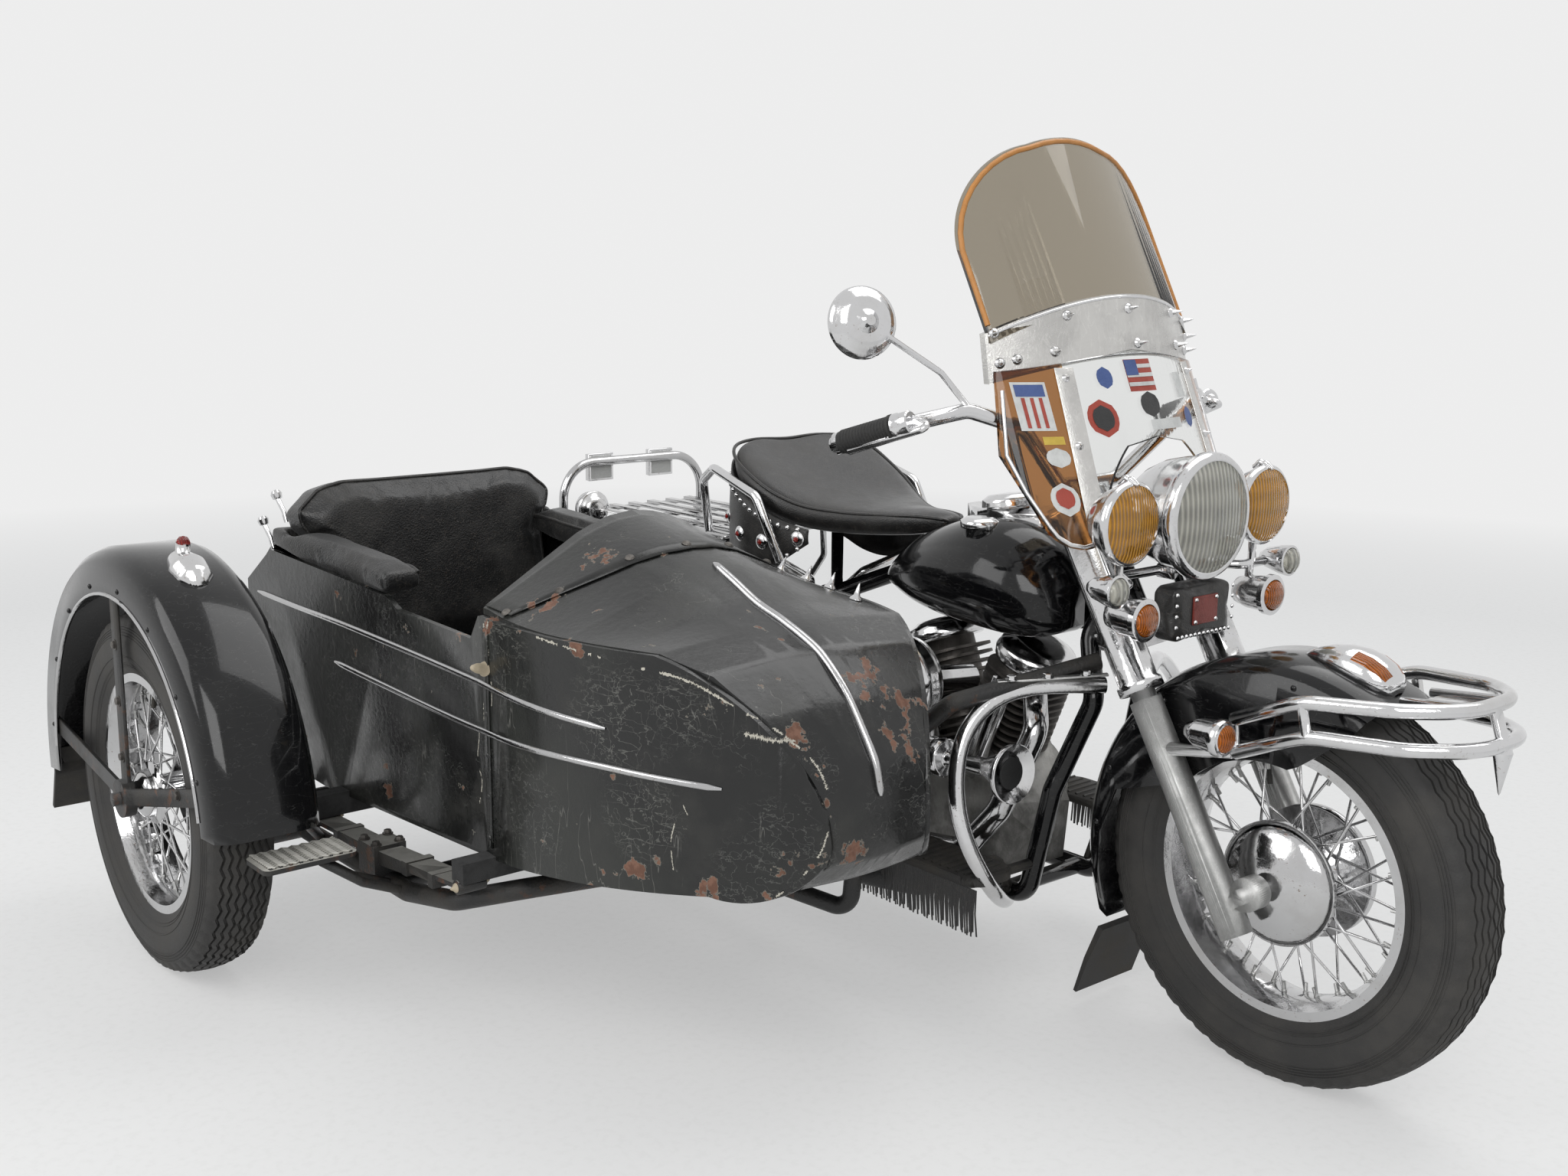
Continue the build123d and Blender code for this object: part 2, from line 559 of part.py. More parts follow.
# Rocker covers on the heads and the pushrod tubes on the right
COVER_T = 44
with BuildPart() as rocker_gear_whole:
    for lean in VEE:
        up = Vector(sin(radians(lean)), 0, cos(radians(lean)))
        add(turned([(0, 0), (0, 72), (12, 74), (28, 68), (COVER_T - 4, 46), (COVER_T, 0)],
                   CRANK + up * CYLINDER_TOP, tuple(up)))
        for apart in (-16, 16):
            foot = CRANK + up * 100 + Vector(apart * 0.8 + lean * 0.9, -88, 0)
            head = CRANK + up * (CYLINDER_TOP - 28) + Vector(apart, -62, 0)
            add(bar([foot, head], 10))
cylinders = fitted(cylinders_whole.part, engine_case_whole.part)
rocker_gear = fitted(rocker_gear_whole.part, cylinders, engine_case_whole.part)
engine_case = fitted(engine_case_whole.part, bike_frame_whole.part)

# Air cleaner and carburettor between the cylinders
AIR_CLEANER = Vector(850, -205, 536)
with BuildPart() as air_cleaner_whole:
    add(turned([(-2, 0), (-2, 84), (30, 88), (44, 80), (50, 40), (52, 0)], AIR_CLEANER, (0, -1, 0)))
    add(bar([AIR_CLEANER, Vector(850, -50, 520)], 26))
air_cleaner = fitted(air_cleaner_whole.part, cylinders, rocker_gear)

# Exhaust: two pipes joined into one that runs back low on the right, with a long muffler
PIPE_R = 22
MUFFLER = Vector(420, -168, 178)
with BuildPart() as exhaust_whole:
    add(bar([(1000, -40, 520), (1040, -80, 470), (1010, -132, 330), (940, -150, 240), (700, -160, 212),
             MUFFLER],
            PIPE_R, 40))
    add(bar([(700, -50, 520), (664, -100, 500), (640, -140, 380), (560, -162, 196)], PIPE_R - 1, 30))
    add(turned([(-40, 0), (-40, PIPE_R + 2), (20, 42), (400, 42), (540, 22), (540, 0)], MUFFLER,
               (-1, 0, 0)))
exhaust = fitted(exhaust_whole.part, cylinders, engine_case, bike_frame_whole.part)

# Horn trumpet below the air cleaner
HORN_MOUTH = Vector(1090, -188, 424)
with BuildPart() as horn_whole:
    add(turned([(-40, 0), (-24, 16), (-4, 42), (0, 49), (-6, 50), (-22, 34), (-60, 17), (-150, 12),
                (-156, 34), (-190, 34), (-194, 0)], HORN_MOUTH, (1, 0, 0.06)))
    add(bar([(910, -180, 410), (910, -90, 360)], 9))
horn = fitted(horn_whole.part, engine_case)

# Fuel tanks: two halves over the backbone, each lofted through D-shaped sections
TANK_GAP = 20
TANK_SECTIONS = [  # x, half width, low z, high z
    (662, 80, 668, 712),
    (744, 124, 650, 772),
    (864, 151, 640, 812),
    (980, 150, 634, 812),
    (1048, 126, 636, 776),
    (1086, 74, 654, 728),
]
with BuildPart() as fuel_tanks_whole:
    for side in (-1, 1):
        with BuildPart() as tank:
            for x, half, low, high in TANK_SECTIONS:
                tall = high - low
                with BuildSketch(Plane(origin=(x, 0, 0), x_dir=(0, side, 0), z_dir=(side, 0, 0))):
                    with BuildLine():
                        Line((TANK_GAP, high), (TANK_GAP, low))
                        Line((TANK_GAP, low), (half * 0.72, low))
                        ThreePointArc((half * 0.72, low), (half, low + tall * 0.4),
                                      (half * 0.86, low + tall * 0.76))
                        ThreePointArc((half * 0.86, low + tall * 0.76), (half * 0.6, low + tall * 0.96),
                                      (TANK_GAP, high))
                    make_face()
            loft()
        add(tank.part)
fuel_tanks = fitted(fuel_tanks_whole.part, bike_frame_whole.part, rocker_gear, engine_case_whole.part)

# Fittings on the tanks: console with a round dial and two filler caps
CAP_R = 34
DASH_TOP = 858
with BuildPart() as tank_fittings_whole:
    with BuildSketch(Plane(origin=(0, 0, 770))):
        with BuildLine():
            Polyline((800, 14), (850, 50), (930, 52), (990, 30), (1004, 0), (990, -30), (930, -52),
                     (850, -50), (800, -14), close=True)
        make_face()
    extrude(amount=60)
    add(turned([(0, 0), (0, 52), (18, 50), (26, 38), (28, 0)], (892, 0, DASH_TOP - 28), (-0.16, 0, 1)))
    for side in (-1, 1):
        add(turned([(0, 0), (0, CAP_R - 6), (30, CAP_R - 6), (30, CAP_R), (42, CAP_R), (48, CAP_R - 10),
                    (49, 0)],
                   (905, side * 92, 776), (0, 0, 1)))
tank_fittings = fitted(tank_fittings_whole.part, fuel_tanks, bike_frame_whole.part)

# Saddle: a wide back and a narrow nose, raised at the rear
SADDLE_NOSE_X, SADDLE_REAR_X = 752, 276
SADDLE_HALF = 188
with BuildPart() as saddle:
    with BuildSketch(Plane(origin=(0, 0, 700))):
        with BuildLine():
            Polyline((SADDLE_NOSE_X, -26), (SADDLE_NOSE_X, 26), (690, 52), (600, 96), (500, 168),
                     (430, SADDLE_HALF), (350, SADDLE_HALF - 4), (296, 150), (SADDLE_REAR_X, 80),
                     (SADDLE_REAR_X, -80), (296, -150), (350, -SADDLE_HALF + 4), (430, -SADDLE_HALF),
                     (500, -168), (600, -96), (690, -52), close=True)
        make_face()
    extrude(amount=240)
    add(plate([(SADDLE_NOSE_X, 784), (742, 802), (690, 806), (570, 802), (470, 822), (380, 868), (310, 904),
               (SADDLE_REAR_X, 900), (SADDLE_REAR_X, 868), (340, 812), (430, 772), (520, 752), (640, 748),
               (744, 778)], 0, 400), mode=Mode.INTERSECT)

# Studded leather skirt that hangs from the rear half of the saddle
SKIRT_T = 6
with BuildPart() as saddle_skirt_whole:
    with BuildSketch(Plane(origin=(0, 0, 640))):
        with BuildLine():
            Polyline((520, 160), (430, SADDLE_HALF + SKIRT_T), (350, SADDLE_HALF + 2), (290, 152),
                     (268, 80), (268, -80), (290, -152), (350, -SADDLE_HALF - 2),
                     (430, -SADDLE_HALF - SKIRT_T), (520, -160), (516, -154), (430, -SADDLE_HALF),
                     (352, -SADDLE_HALF + 4), (296, -148), (275, -78), (275, 78), (296, 148),
                     (352, SADDLE_HALF - 4), (430, SADDLE_HALF), (516, 154), close=True)
        make_face()
    extrude(amount=240)
    add(plate([(530, 756), (430, 790), (340, 836), (262, 890), (262, 836), (262, 700), (330, 650),
               (430, 668), (530, 730)], 0, 420), mode=Mode.INTERSECT)
saddle_skirt = fitted(saddle_skirt_whole.part, saddle.part)
bike_frame = fitted(bike_frame_whole.part, saddle.part)

# Rear fender with its lower tip and flap
REAR_FENDER_R = 352
REAR_FENDER_HALF = 92
with BuildPart() as rear_fender_whole:
    add(swept_fender(REAR_AXLE, REAR_FENDER_R, REAR_FENDER_HALF, 96, 12, 186))
rear_fender = fitted(rear_fender_whole.part, bike_frame, engine_case)

# Luggage rack of flat bars behind the saddle, and the tall hoop that carries the reflectors
RACK_Z = 706
RACK_HOLE_X, RACK_HOLE_Y, RACK_HOLE_R = 150, 78, 3.5
HOOP_X = -278
HOOP_HALF = 190
HOOP_TOP = 806
with BuildPart() as luggage_rack_whole:
    for y in (-130, -78, -26, 26, 78, 130):
        with BuildSketch(Plane(origin=(0, 0, RACK_Z))):
            with Locations((0, y)):
                Rectangle(500, 18)
            if abs(y) == RACK_HOLE_Y:
                with Locations((-RACK_HOLE_X, y), (RACK_HOLE_X, y)):
                    Circle(RACK_HOLE_R, mode=Mode.SUBTRACT)
        extrude(amount=6)
    for x in (-240, -90, 60, 236):
        with BuildSketch(Plane(origin=(0, 0, RACK_Z - 6))):
            with Locations((x, 0)):
                Rectangle(18, 290)
        extrude(amount=6.5)
    for side in (-1, 1):
        add(bar([(236, side * 130, RACK_Z), (236, side * 134, 640), (60, side * STAY_Y, 400)], 7, 20))
        add(bar([(-90, side * 130, RACK_Z), (-90, side * 120, 600), (-6, side * STAY_Y, AXLE_Z + 30)], 7,
                20))
    add(bar([(HOOP_X, -HOOP_HALF, 620), (HOOP_X, -HOOP_HALF, HOOP_TOP), (HOOP_X, HOOP_HALF, HOOP_TOP),
             (HOOP_X, HOOP_HALF, 620)], 10, 80))
    for side in (-1, 1):
        add(bar([(HOOP_X, side * HOOP_HALF, 640), (-246, side * 150, RACK_Z - 3),
                 (-200, side * 130, RACK_Z - 3)], 8, 16))
luggage_rack_cut = fitted(luggage_rack_whole.part, rear_fender, bike_frame)

# Chrome rails at both sides of the saddle
with BuildPart() as grab_rails_whole:
    for side in (-1, 1):
        add(bar([(500, side * (SADDLE_HALF + 18), 700), (430, side * (SADDLE_HALF + 20), 816),
                 (290, side * (SADDLE_HALF + 14), 856), (200, side * 160, 820),
                 (180, side * 130, RACK_Z + 3)], 9, 28))
        add(bar([(500, side * (SADDLE_HALF + 18), 700), (430, side * 70, 640),
                 (SEAT_POST_X - 30, side * 40, 600)], 9, 16))
grab_rails = fitted(grab_rails_whole.part, luggage_rack_cut, bike_frame, saddle.part, saddle_skirt,
                    rear_fender)

# Lamps at the rear: a ball lamp on the hoop, two square reflectors and the tail lamp on the fender
with BuildPart() as rear_lamps_whole:
    for side in (-1, 1):
        with BuildSketch(Plane(origin=(HOOP_X - 8, side * 83, 792), x_dir=(0, 1, 0), z_dir=(-1, 0, 0))):
            Rectangle(64, 60)
        extrude(amount=16)
    add(turned([(0, 0), (4, 24), (20, 36), (40, 36), (56, 24), (60, 0)], (HOOP_X + 14, -146, 709),
               (1, 0, 0)))
    add(turned([(0, 0), (0, 40), (16, 44), (60, 44), (90, 30), (96, 0)], (-262, 0, 566), (-1, 0, 0.1)))
rear_crown = turned([(-90, 0), (-90, REAR_FENDER_R + 5), (90, REAR_FENDER_R + 5), (90, 0)], REAR_AXLE,
                    (0, 1, 0))
rear_lamps = fitted(rear_lamps_whole.part, luggage_rack_cut, rear_fender, rear_crown)
luggage_rack = luggage_rack_cut

# Floorboards on both sides, each on two arms from the cradle
BOARD_Z = 250
with BuildPart() as floorboards_whole:
    for side in (-1, 1):
        with BuildSketch(Plane(origin=(0, 0, BOARD_Z))):
            with Locations((960, side * 238)):
                RectangleRounded(300, 104, 36)
        extrude(amount=14)
        add(bar([(1062, side * 238, BOARD_Z - 8), (1062, side * (FRAME_HALF + 6), BOARD_Z - 8)], 9))
        add(bar([(1012, side * 238, BOARD_Z - 8), (1012, side * (FRAME_HALF + 40), BOARD_Z - 8),
                 (1012, side * (FRAME_HALF + 6), CRADLE_Z)], 9, 24))
floorboards = fitted(floorboards_whole.part, bike_frame, engine_case, primary_cover.part, exhaust)

# Crash bars: a loop each side from the downtube out round the floorboard and back under it
CRASH_BAR_R = 14
with BuildPart() as crash_bars_whole:
    for side in (-1, 1):
        add(bent_bar([(1164, side * 54, 570), (1118, side * 130, 572), (1076, side * 210, 556),
                      (1062, side * 272, 506), (1068, side * 300, 430), (1086, side * 296, 340),
                      (1100, side * 252, 252), (1064, side * 172, 192),
                      (1000, side * (FRAME_HALF + 3), CRADLE_Z)],
                     CRASH_BAR_R))
crash_bars = fitted(crash_bars_whole.part, bike_frame, floorboards)

# Chain from the gearbox round the rear wheel's sprocket: a link every pitch, wide and narrow ones in turn
CHAIN_Y = 83
CHAIN_PITCH = 25.4
LINK_T, LINK_TALL = 1.8, 9
PIN_R = 4
CHAIN_GAP = 5
CHAIN_FRONT_X = 520
ROUND_R = SPROCKET_R + CHAIN_GAP + LINK_TALL / 2


def chain_place(travel):
    """Point at a distance along the chain: upper run, half turn behind the axle, lower run."""
    slope = 0.04
    half_turn = pi * ROUND_R
    if travel < CHAIN_FRONT_X:
        x = CHAIN_FRONT_X - travel
        return Vector(x, CHAIN_Y, AXLE_Z + ROUND_R - x * slope)
    if travel < CHAIN_FRONT_X + half_turn:
        turn = pi / 2 + (travel - CHAIN_FRONT_X) / ROUND_R
        return Vector(ROUND_R * cos(turn), CHAIN_Y, AXLE_Z + ROUND_R * sin(turn))
    x = travel - CHAIN_FRONT_X - half_turn
    return Vector(x, CHAIN_Y, AXLE_Z - ROUND_R + x * slope)


with BuildPart() as final_chain_whole:
    links = int((2 * CHAIN_FRONT_X + pi * ROUND_R) / CHAIN_PITCH)
    plates, pins = [], []
    for i in range(links):
        start, end = chain_place(i * CHAIN_PITCH), chain_place((i + 1) * CHAIN_PITCH)
        run = end - start
        apart = 5.2 if i % 2 else 3.2
        for side in (-1, 1):
            middle = (start + end) / 2 + Vector(0, side * apart, 0)
            plane = Plane(origin=middle, x_dir=run, z_dir=(0, 1, 0))
            plates.append(Box(run.length + LINK_TALL * 0.7, LINK_TALL, LINK_T,
                              mode=Mode.PRIVATE).moved(plane.location))
        pins.append(bar([start - Vector(0, 6.6, 0), start + Vector(0, 6.6, 0)], PIN_R))
    add(plates + pins)
final_chain = fitted(final_chain_whole.part, engine_case, primary_cover.part, bike_frame, rear_fender,
                     exhaust)

# Sidecar frame: two rails under the body, cross tubes, the axle carrier and four struts to the motorcycle
RAIL_Y = 330
RAIL_Z = 205
CAR_TUBE_R = 19
STRAP_T = 6
STRAP_Y = -TRACK - 87.5 + FENDER_T + STRAP_T / 2
STRUT_R = 15
with BuildPart() as sidecar_frame_whole:
    outer, inner = CAR_Y - RAIL_Y, CAR_Y + RAIL_Y
    add(bar([(-170, outer, RAIL_Z), (430, outer, RAIL_Z), (570, outer + 14, 228), (660, outer + 84, 258),
             (664, inner, RAIL_Z)], CAR_TUBE_R - 2, 44))
    add(bar([(-170, inner, RAIL_Z), (850, inner, RAIL_Z), (920, -236, 190),
             (930, -FRAME_HALF - 4, CRADLE_Z)],
            CAR_TUBE_R - 1, 44))
    for x in (-150, 380):
        add(bar([(x, outer, RAIL_Z), (x, inner, RAIL_Z)], CAR_TUBE_R - 3))
    add(bar([(0, outer, RAIL_Z), (0, -TRACK + 150, RAIL_Z), (0, -TRACK + 112, AXLE_Z),
             (0, -TRACK + 72, AXLE_Z)], 22, 30))
    add(bar([(0, -TRACK + 100, AXLE_Z), (0, STRAP_Y - 26, AXLE_Z)], AXLE_R))
    add(bar([(60, inner, RAIL_Z), (40, -200, 250), (6, -STAY_Y - 2, 300)], CAR_TUBE_R - 3, 60))
    add(bar([(662, -560, 256), (925, -400, 186), (932, -396, 285), (962, -318, 350), (965, -308, 480),
             (1040, -286, 552), (1144, -48, 606)], STRUT_R, 26))
    add(bar([(300, inner, RAIL_Z), (330, -262, 300), (SEAT_POST_X - 62, -STAY_Y, 552)], 11, 60))
sidecar_frame = fitted(sidecar_frame_whole.part, bike_frame, engine_case, exhaust, crash_bars, floorboards,
                       luggage_rack, grab_rails)

# Wheel bracket: three flat straps from the axle's end to the fender, and two stays on the inner side
CAR_FENDER_R = 435
CAR_FENDER_HALF = 87.5
CAR_SKIRT = 75
with BuildPart() as wheel_bracket_whole:
    add(turned([(-STRAP_T, 0), (-STRAP_T, 34), (14, 34), (14, 0)], (0, STRAP_Y, AXLE_Z), (0, -1, 0)))
    for angle in (14, 90, 172):
        reach = CAR_FENDER_R - 30
        out = Vector(cos(radians(angle)), 0, sin(radians(angle)))
        wide = Vector(-out.Z, 0, out.X) * 15
        root, tip = CAR_AXLE, CAR_AXLE + out * reach
        corners = [root - wide, tip - wide, tip + wide, root + wide]
        add(plate([(corner.X, corner.Z) for corner in corners], STRAP_Y, STRAP_T))
    for x in (-250, 250):
        add(bar([(x * 0.4, CAR_Y - RAIL_Y, RAIL_Z), (x * 0.8, -1050, 300),
                 (x * 1.15, -TRACK + CAR_FENDER_HALF + 9, 540)],
                9, 40))

# Sidecar fender
with BuildPart() as sidecar_fender_whole:
    add(swept_fender(CAR_AXLE, CAR_FENDER_R, CAR_FENDER_HALF, CAR_SKIRT, 4, 182))
wheel_bracket_seated = fitted(wheel_bracket_whole.part, sidecar_frame)
sidecar_fender = fitted(sidecar_fender_whole.part, wheel_bracket_seated)
wheel_bracket = wheel_bracket_seated

with BuildPart() as sidecar_mudflap_whole:
    add(plate([(-437, 312), (-431, 312), (-433, 260), (-460, 184), (-468, 188), (-440, 264)], -TRACK, 150))
sidecar_mudflap = fitted(sidecar_mudflap_whole.part, sidecar_fender)
with BuildPart() as sidecar_fender_lamp_whole:
    add(turned([(-66, 0), (-40, 22), (0, 34), (36, 30), (54, 14), (60, 0)], (136, -TRACK, 738),
               (0.94, 0, -0.34)))
    add(turned([(0, 0), (0, 12), (36, 12), (44, 8), (48, 0)], (112, -TRACK, 752), (0.3, 0, 1)))
car_crown = turned([(-90, 0), (-90, CAR_FENDER_R + 5), (90, CAR_FENDER_R + 5), (90, 0)], CAR_AXLE,
                   (0, 1, 0))
sidecar_fender_lamp = fitted(sidecar_fender_lamp_whole.part, sidecar_fender, car_crown)

# Leaf springs on the rails, three leaves each, with eyes at both ends
SPRING_REAR_X, SPRING_FRONT_X = 115, 645
BEAM_REAR_Z, BEAM_FRONT_Z = 258, 290
LEAVES, LEAF_T, LEAF_STEP, LEAF_BOW = 3, 8, 84, 5
SPRING_MIDDLE_X = 340


def leaf_z(x, leaf):
    """Top of a leaf at its ends' line, which climbs to the front."""
    share = (x - SPRING_REAR_X) / (SPRING_FRONT_X - SPRING_REAR_X)
    return BEAM_REAR_Z - 4 + share * (BEAM_FRONT_Z - BEAM_REAR_Z) - leaf * LEAF_T


with BuildPart() as leaf_springs_whole:
    for side in (-1, 1):
        for i in range(LEAVES):
            rear, front = SPRING_REAR_X + i * LEAF_STEP, SPRING_FRONT_X - i * LEAF_STEP
            middle = (rear + front) / 2
            tops = [(x, leaf_z(x, i) - LEAF_BOW * (x == middle)) for x in (rear, middle, front)]
            with BuildSketch(Plane(origin=(0, CAR_Y + side * RAIL_Y, 0), x_dir=(1, 0, 0),
                                   z_dir=(0, -1, 0))):
                with BuildLine():
                    Polyline(*tops, *[(x, z - LEAF_T) for x, z in reversed(tops)], close=True)
                make_face()
            extrude(amount=22, both=True)
        for x in (SPRING_REAR_X, SPRING_FRONT_X):
            add(turned([(-24, 0), (-24, 12), (24, 12), (24, 0)],
                       (x, CAR_Y + side * RAIL_Y, leaf_z(x, 0) - 4), (0, 1, 0)))
        for x in (210, 470, 560):
            with Locations((x, CAR_Y + side * RAIL_Y, leaf_z(x, 1) - LEAF_T / 2)):
                Box(16, 52, 3 * LEAF_T)
        with BuildSketch(Plane(origin=(SPRING_MIDDLE_X, CAR_Y + side * RAIL_Y, RAIL_Z + CAR_TUBE_R - 6))):
            Rectangle(60, 60)
        extrude(amount=leaf_z(SPRING_MIDDLE_X, 0) - RAIL_Z - CAR_TUBE_R + 10)

# Sidecar body: plan and side outlines shared by its panels
CAR_REAR_X = -286
CAR_NOSE_X = 1246
NOSE_HALF = 95
COCKPIT_FRONT_X = 622
DECK_Z = 712
SIDE_STRAIGHT_X = 640


def plan_block(inset):
    """Upright block inside the body's plan outline, drawn in by the inset."""
    half, nose = CAR_HALF - inset, NOSE_HALF - inset
    with BuildPart() as block:
        with BuildSketch():
            with BuildLine():
                for side in (-1, 1):
                    y = CAR_Y + side * half
                    Line((CAR_REAR_X, y), (SIDE_STRAIGHT_X, y))
                    ThreePointArc((SIDE_STRAIGHT_X, y), (1000, CAR_Y + side * (246 - inset)),
                                  (CAR_NOSE_X, CAR_Y + side * nose))
                Line((CAR_REAR_X, CAR_Y - half), (CAR_REAR_X, CAR_Y + half))
                Line((CAR_NOSE_X, CAR_Y - nose), (CAR_NOSE_X, CAR_Y + nose))
            make_face()
        extrude(amount=1000)
    return block.part


def side_block(inset, with_cockpit):
    """Block across the body inside its side outline, drawn in by the inset."""
    with BuildPart() as block:
        with BuildSketch(Plane(origin=(0, CAR_Y, 0), x_dir=(1, 0, 0), z_dir=(0, -1, 0))):
            with BuildLine():
                Polyline((1100, 368 + inset), (650, 317 + inset), (35, 283 + inset),
                         (CAR_REAR_X + inset, 292 + inset), (CAR_REAR_X + inset, 632))
                if with_cockpit:
                    Polyline((CAR_REAR_X + inset, 632), (-170, 706), (306, 691), (348, 674), (596, 668),
                             (COCKPIT_FRONT_X, DECK_Z - 3), (1022, DECK_Z - inset))
                else:
                    Polyline((CAR_REAR_X + inset, 632), (-170, DECK_Z - inset), (1022, DECK_Z - inset))
                ThreePointArc((1022, DECK_Z - inset), (1160 - inset * 0.7, 634 - inset * 0.7),
                              (CAR_NOSE_X - inset, 455))
                ThreePointArc((CAR_NOSE_X - inset, 455), (1206 - inset * 0.6, 392 + inset * 0.6),
                              (1100, 368 + inset))
            make_face()
        extrude(amount=CAR_HALF + 40, both=True)
    return block.part


OUTER_PLAN, INNER_PLAN, LINER_PLAN = plan_block(0), plan_block(WALL), plan_block(WALL + SEAM)
body_sides = []
for side in (-1, 1):
    with BuildPart() as panel:
        add(OUTER_PLAN)
        add(side_block(0, True), mode=Mode.INTERSECT)
        add(INNER_PLAN, mode=Mode.SUBTRACT)
        with Locations((CAR_NOSE_X, CAR_Y, 500)):
            Box(2 * WALL + 2, 2 * NOSE_HALF, 1000, mode=Mode.SUBTRACT)
        split(bisect_by=Plane(origin=(0, CAR_Y, 0), z_dir=(0, side, 0)), keep=Keep.TOP)
        with Locations((CAR_REAR_X, CAR_Y, 500)):
            Box(2 * WALL, 2 * CAR_HALF - 2 * WALL, 1000, mode=Mode.SUBTRACT)
    body_sides.append(panel.part)

# Nose and deck: one crowned wrap from the cockpit over the front and under the nose, in sections
# set along the side edge
COWL_CROWNS = [  # x and z on the side edge, half width, crown height, lean of the section in degrees
    (COCKPIT_FRONT_X, 709, 300, 140, 0),
    (740, 710, 292, 112, 0),
    (860, 711, 277, 78, 0),
    (960, 712, 257, 34, 0),
    (1022, 712, 240, 16, 8),
    (1098, 688, 211, 13, 27),
    (1164, 632, 176, 12, 45),
    (1216, 556, 136, 11, 62),
    (1243, 470, 103, 9, 80),
    (1240, 434, 106, 8, 112),
    (1206, 392, 136, 6, 150),
    (1150, 376, 172, 4, 166),
    (1096, 368, 206, 2, 172),
]


def crown_line(half, crown, inset):
    """Roof-shaped section with straight sides and a round ridge."""
    knee = half * 0.34
    rise = crown * 0.82
    return [(-half, -inset), (-knee, rise - inset), (-knee * 0.5, rise + (crown - rise) * 0.76 - inset),
            (0, crown - inset), (knee * 0.5, rise + (crown - rise) * 0.76 - inset), (knee, rise - inset),
            (half, -inset)]


with BuildPart() as body_cowl_whole:
    for x, z, half, crown, lean in COWL_CROWNS:
        ahead = Vector(cos(radians(lean)), 0, -sin(radians(lean)))
        with BuildSketch(Plane(origin=(x, CAR_Y, z), x_dir=(0, 1, 0), z_dir=ahead)):
            with BuildLine():
                outer = crown_line(half, crown, 0)
                Polyline(*outer, *reversed(crown_line(half, crown, WALL)), close=True)
            make_face()
    loft(ruled=True)
    add(LINER_PLAN, mode=Mode.INTERSECT)

# Tail and floor, with the two cross beams that the springs carry
with BuildPart() as body_tail:
    with BuildSketch(Plane(origin=(0, CAR_Y, 0), x_dir=(1, 0, 0), z_dir=(0, -1, 0))):
        with BuildLine():
            Polyline((CAR_REAR_X, 292), (CAR_REAR_X, 632), (-178, 718), (-166, 718),
                     (CAR_REAR_X + WALL, 626), (CAR_REAR_X + WALL, 292), close=True)
        make_face()
    extrude(amount=CAR_HALF - WALL - SEAM, both=True)
with BuildPart() as body_floor:
    with BuildSketch(Plane(origin=(0, CAR_Y, 0), x_dir=(1, 0, 0), z_dir=(0, -1, 0))):
        with BuildLine():
            Polyline((CAR_REAR_X + WALL + SEAM, 292), (35, 283), (650, 317), (1100, 368), (1100, 378),
                     (650, 327), (35, 293), (CAR_REAR_X + WALL + SEAM, 302), close=True)
        make_face()
    extrude(amount=CAR_HALF - WALL - SEAM, both=True)
    add(LINER_PLAN, mode=Mode.INTERSECT)
    for x, low, high in ((SPRING_REAR_X, BEAM_REAR_Z, 300), (SPRING_FRONT_X, BEAM_FRONT_Z, 324)):
        with Locations((x, CAR_Y, (low + high) / 2)):
            Box(36, 2 * RAIL_Y + 44, high - low)
for i, panel in enumerate(body_sides):
    body_sides[i] = fitted(panel, body_floor.part, body_tail.part, body_cowl_whole.part)
body_cowl = fitted(body_cowl_whole.part, body_floor.part)
leaf_springs = fitted(leaf_springs_whole.part, body_floor.part, sidecar_frame)

# Seat: cushion on the floor's riser, back and armrest pads
with BuildPart() as seat_cushion:
    with BuildSketch(Plane(origin=(0, CAR_Y, 0), x_dir=(1, 0, 0), z_dir=(0, -1, 0))):
        with BuildLine():
            Polyline((-40, 300), (420, 316), (430, 500), (410, 522), (10, 490), (-20, 470), close=True)
        make_face()
    extrude(amount=CAR_HALF - WALL - 14, both=True)
with BuildPart() as seat_back_whole:
    with BuildSketch(Plane(origin=(-128, CAR_Y, 660), x_dir=(0, 1, 0), z_dir=(1, 0, 0.12))):
        with BuildLine():
            Polyline((-272, -180), (-272, 68), (-286, 100), (-284, 142), (-240, 180), (-190, 192),
                     (190, 192), (240, 180), (284, 142), (286, 100), (272, 68), (272, -180), close=True)
        make_face()
    extrude(amount=76)
armrest_bottom = [(-172, 706), (306, 691)]
with BuildPart() as armrests_whole:
    for side in (-1, 1):
        add(plate(armrest_bottom + [(x, z + 30) for x, z in reversed(armrest_bottom)],
                  CAR_Y + side * (CAR_HALF - 34), 78))
seat_back = fitted(seat_back_whole.part, seat_cushion.part, body_tail.part)
armrests = fitted(armrests_whole.part, seat_back, body_tail.part, body_sides[0], body_sides[1])
seat_cushion_seated = fitted(seat_cushion.part, body_floor.part)

# Ribbed step in front of the sidecar's wheel
with BuildPart() as step_plate_whole:
    with BuildSketch(Plane(origin=(0, 0, 296))):
        with Locations((408, -1135)):
            RectangleRounded(84, 160, 12)
    extrude(amount=8)
    for i in range(9):
        with Locations((408, -1135 + (i - 4) * 17, 305)):
            Box(76, 5, 4)
    for x in (388, 428):
        add(bar([(x, CAR_Y - RAIL_Y, RAIL_Z), (x, -1040, 240), (x, -1110, 292)], 8, 30))
step_plate = fitted(step_plate_whole.part, sidecar_frame, leaf_springs)

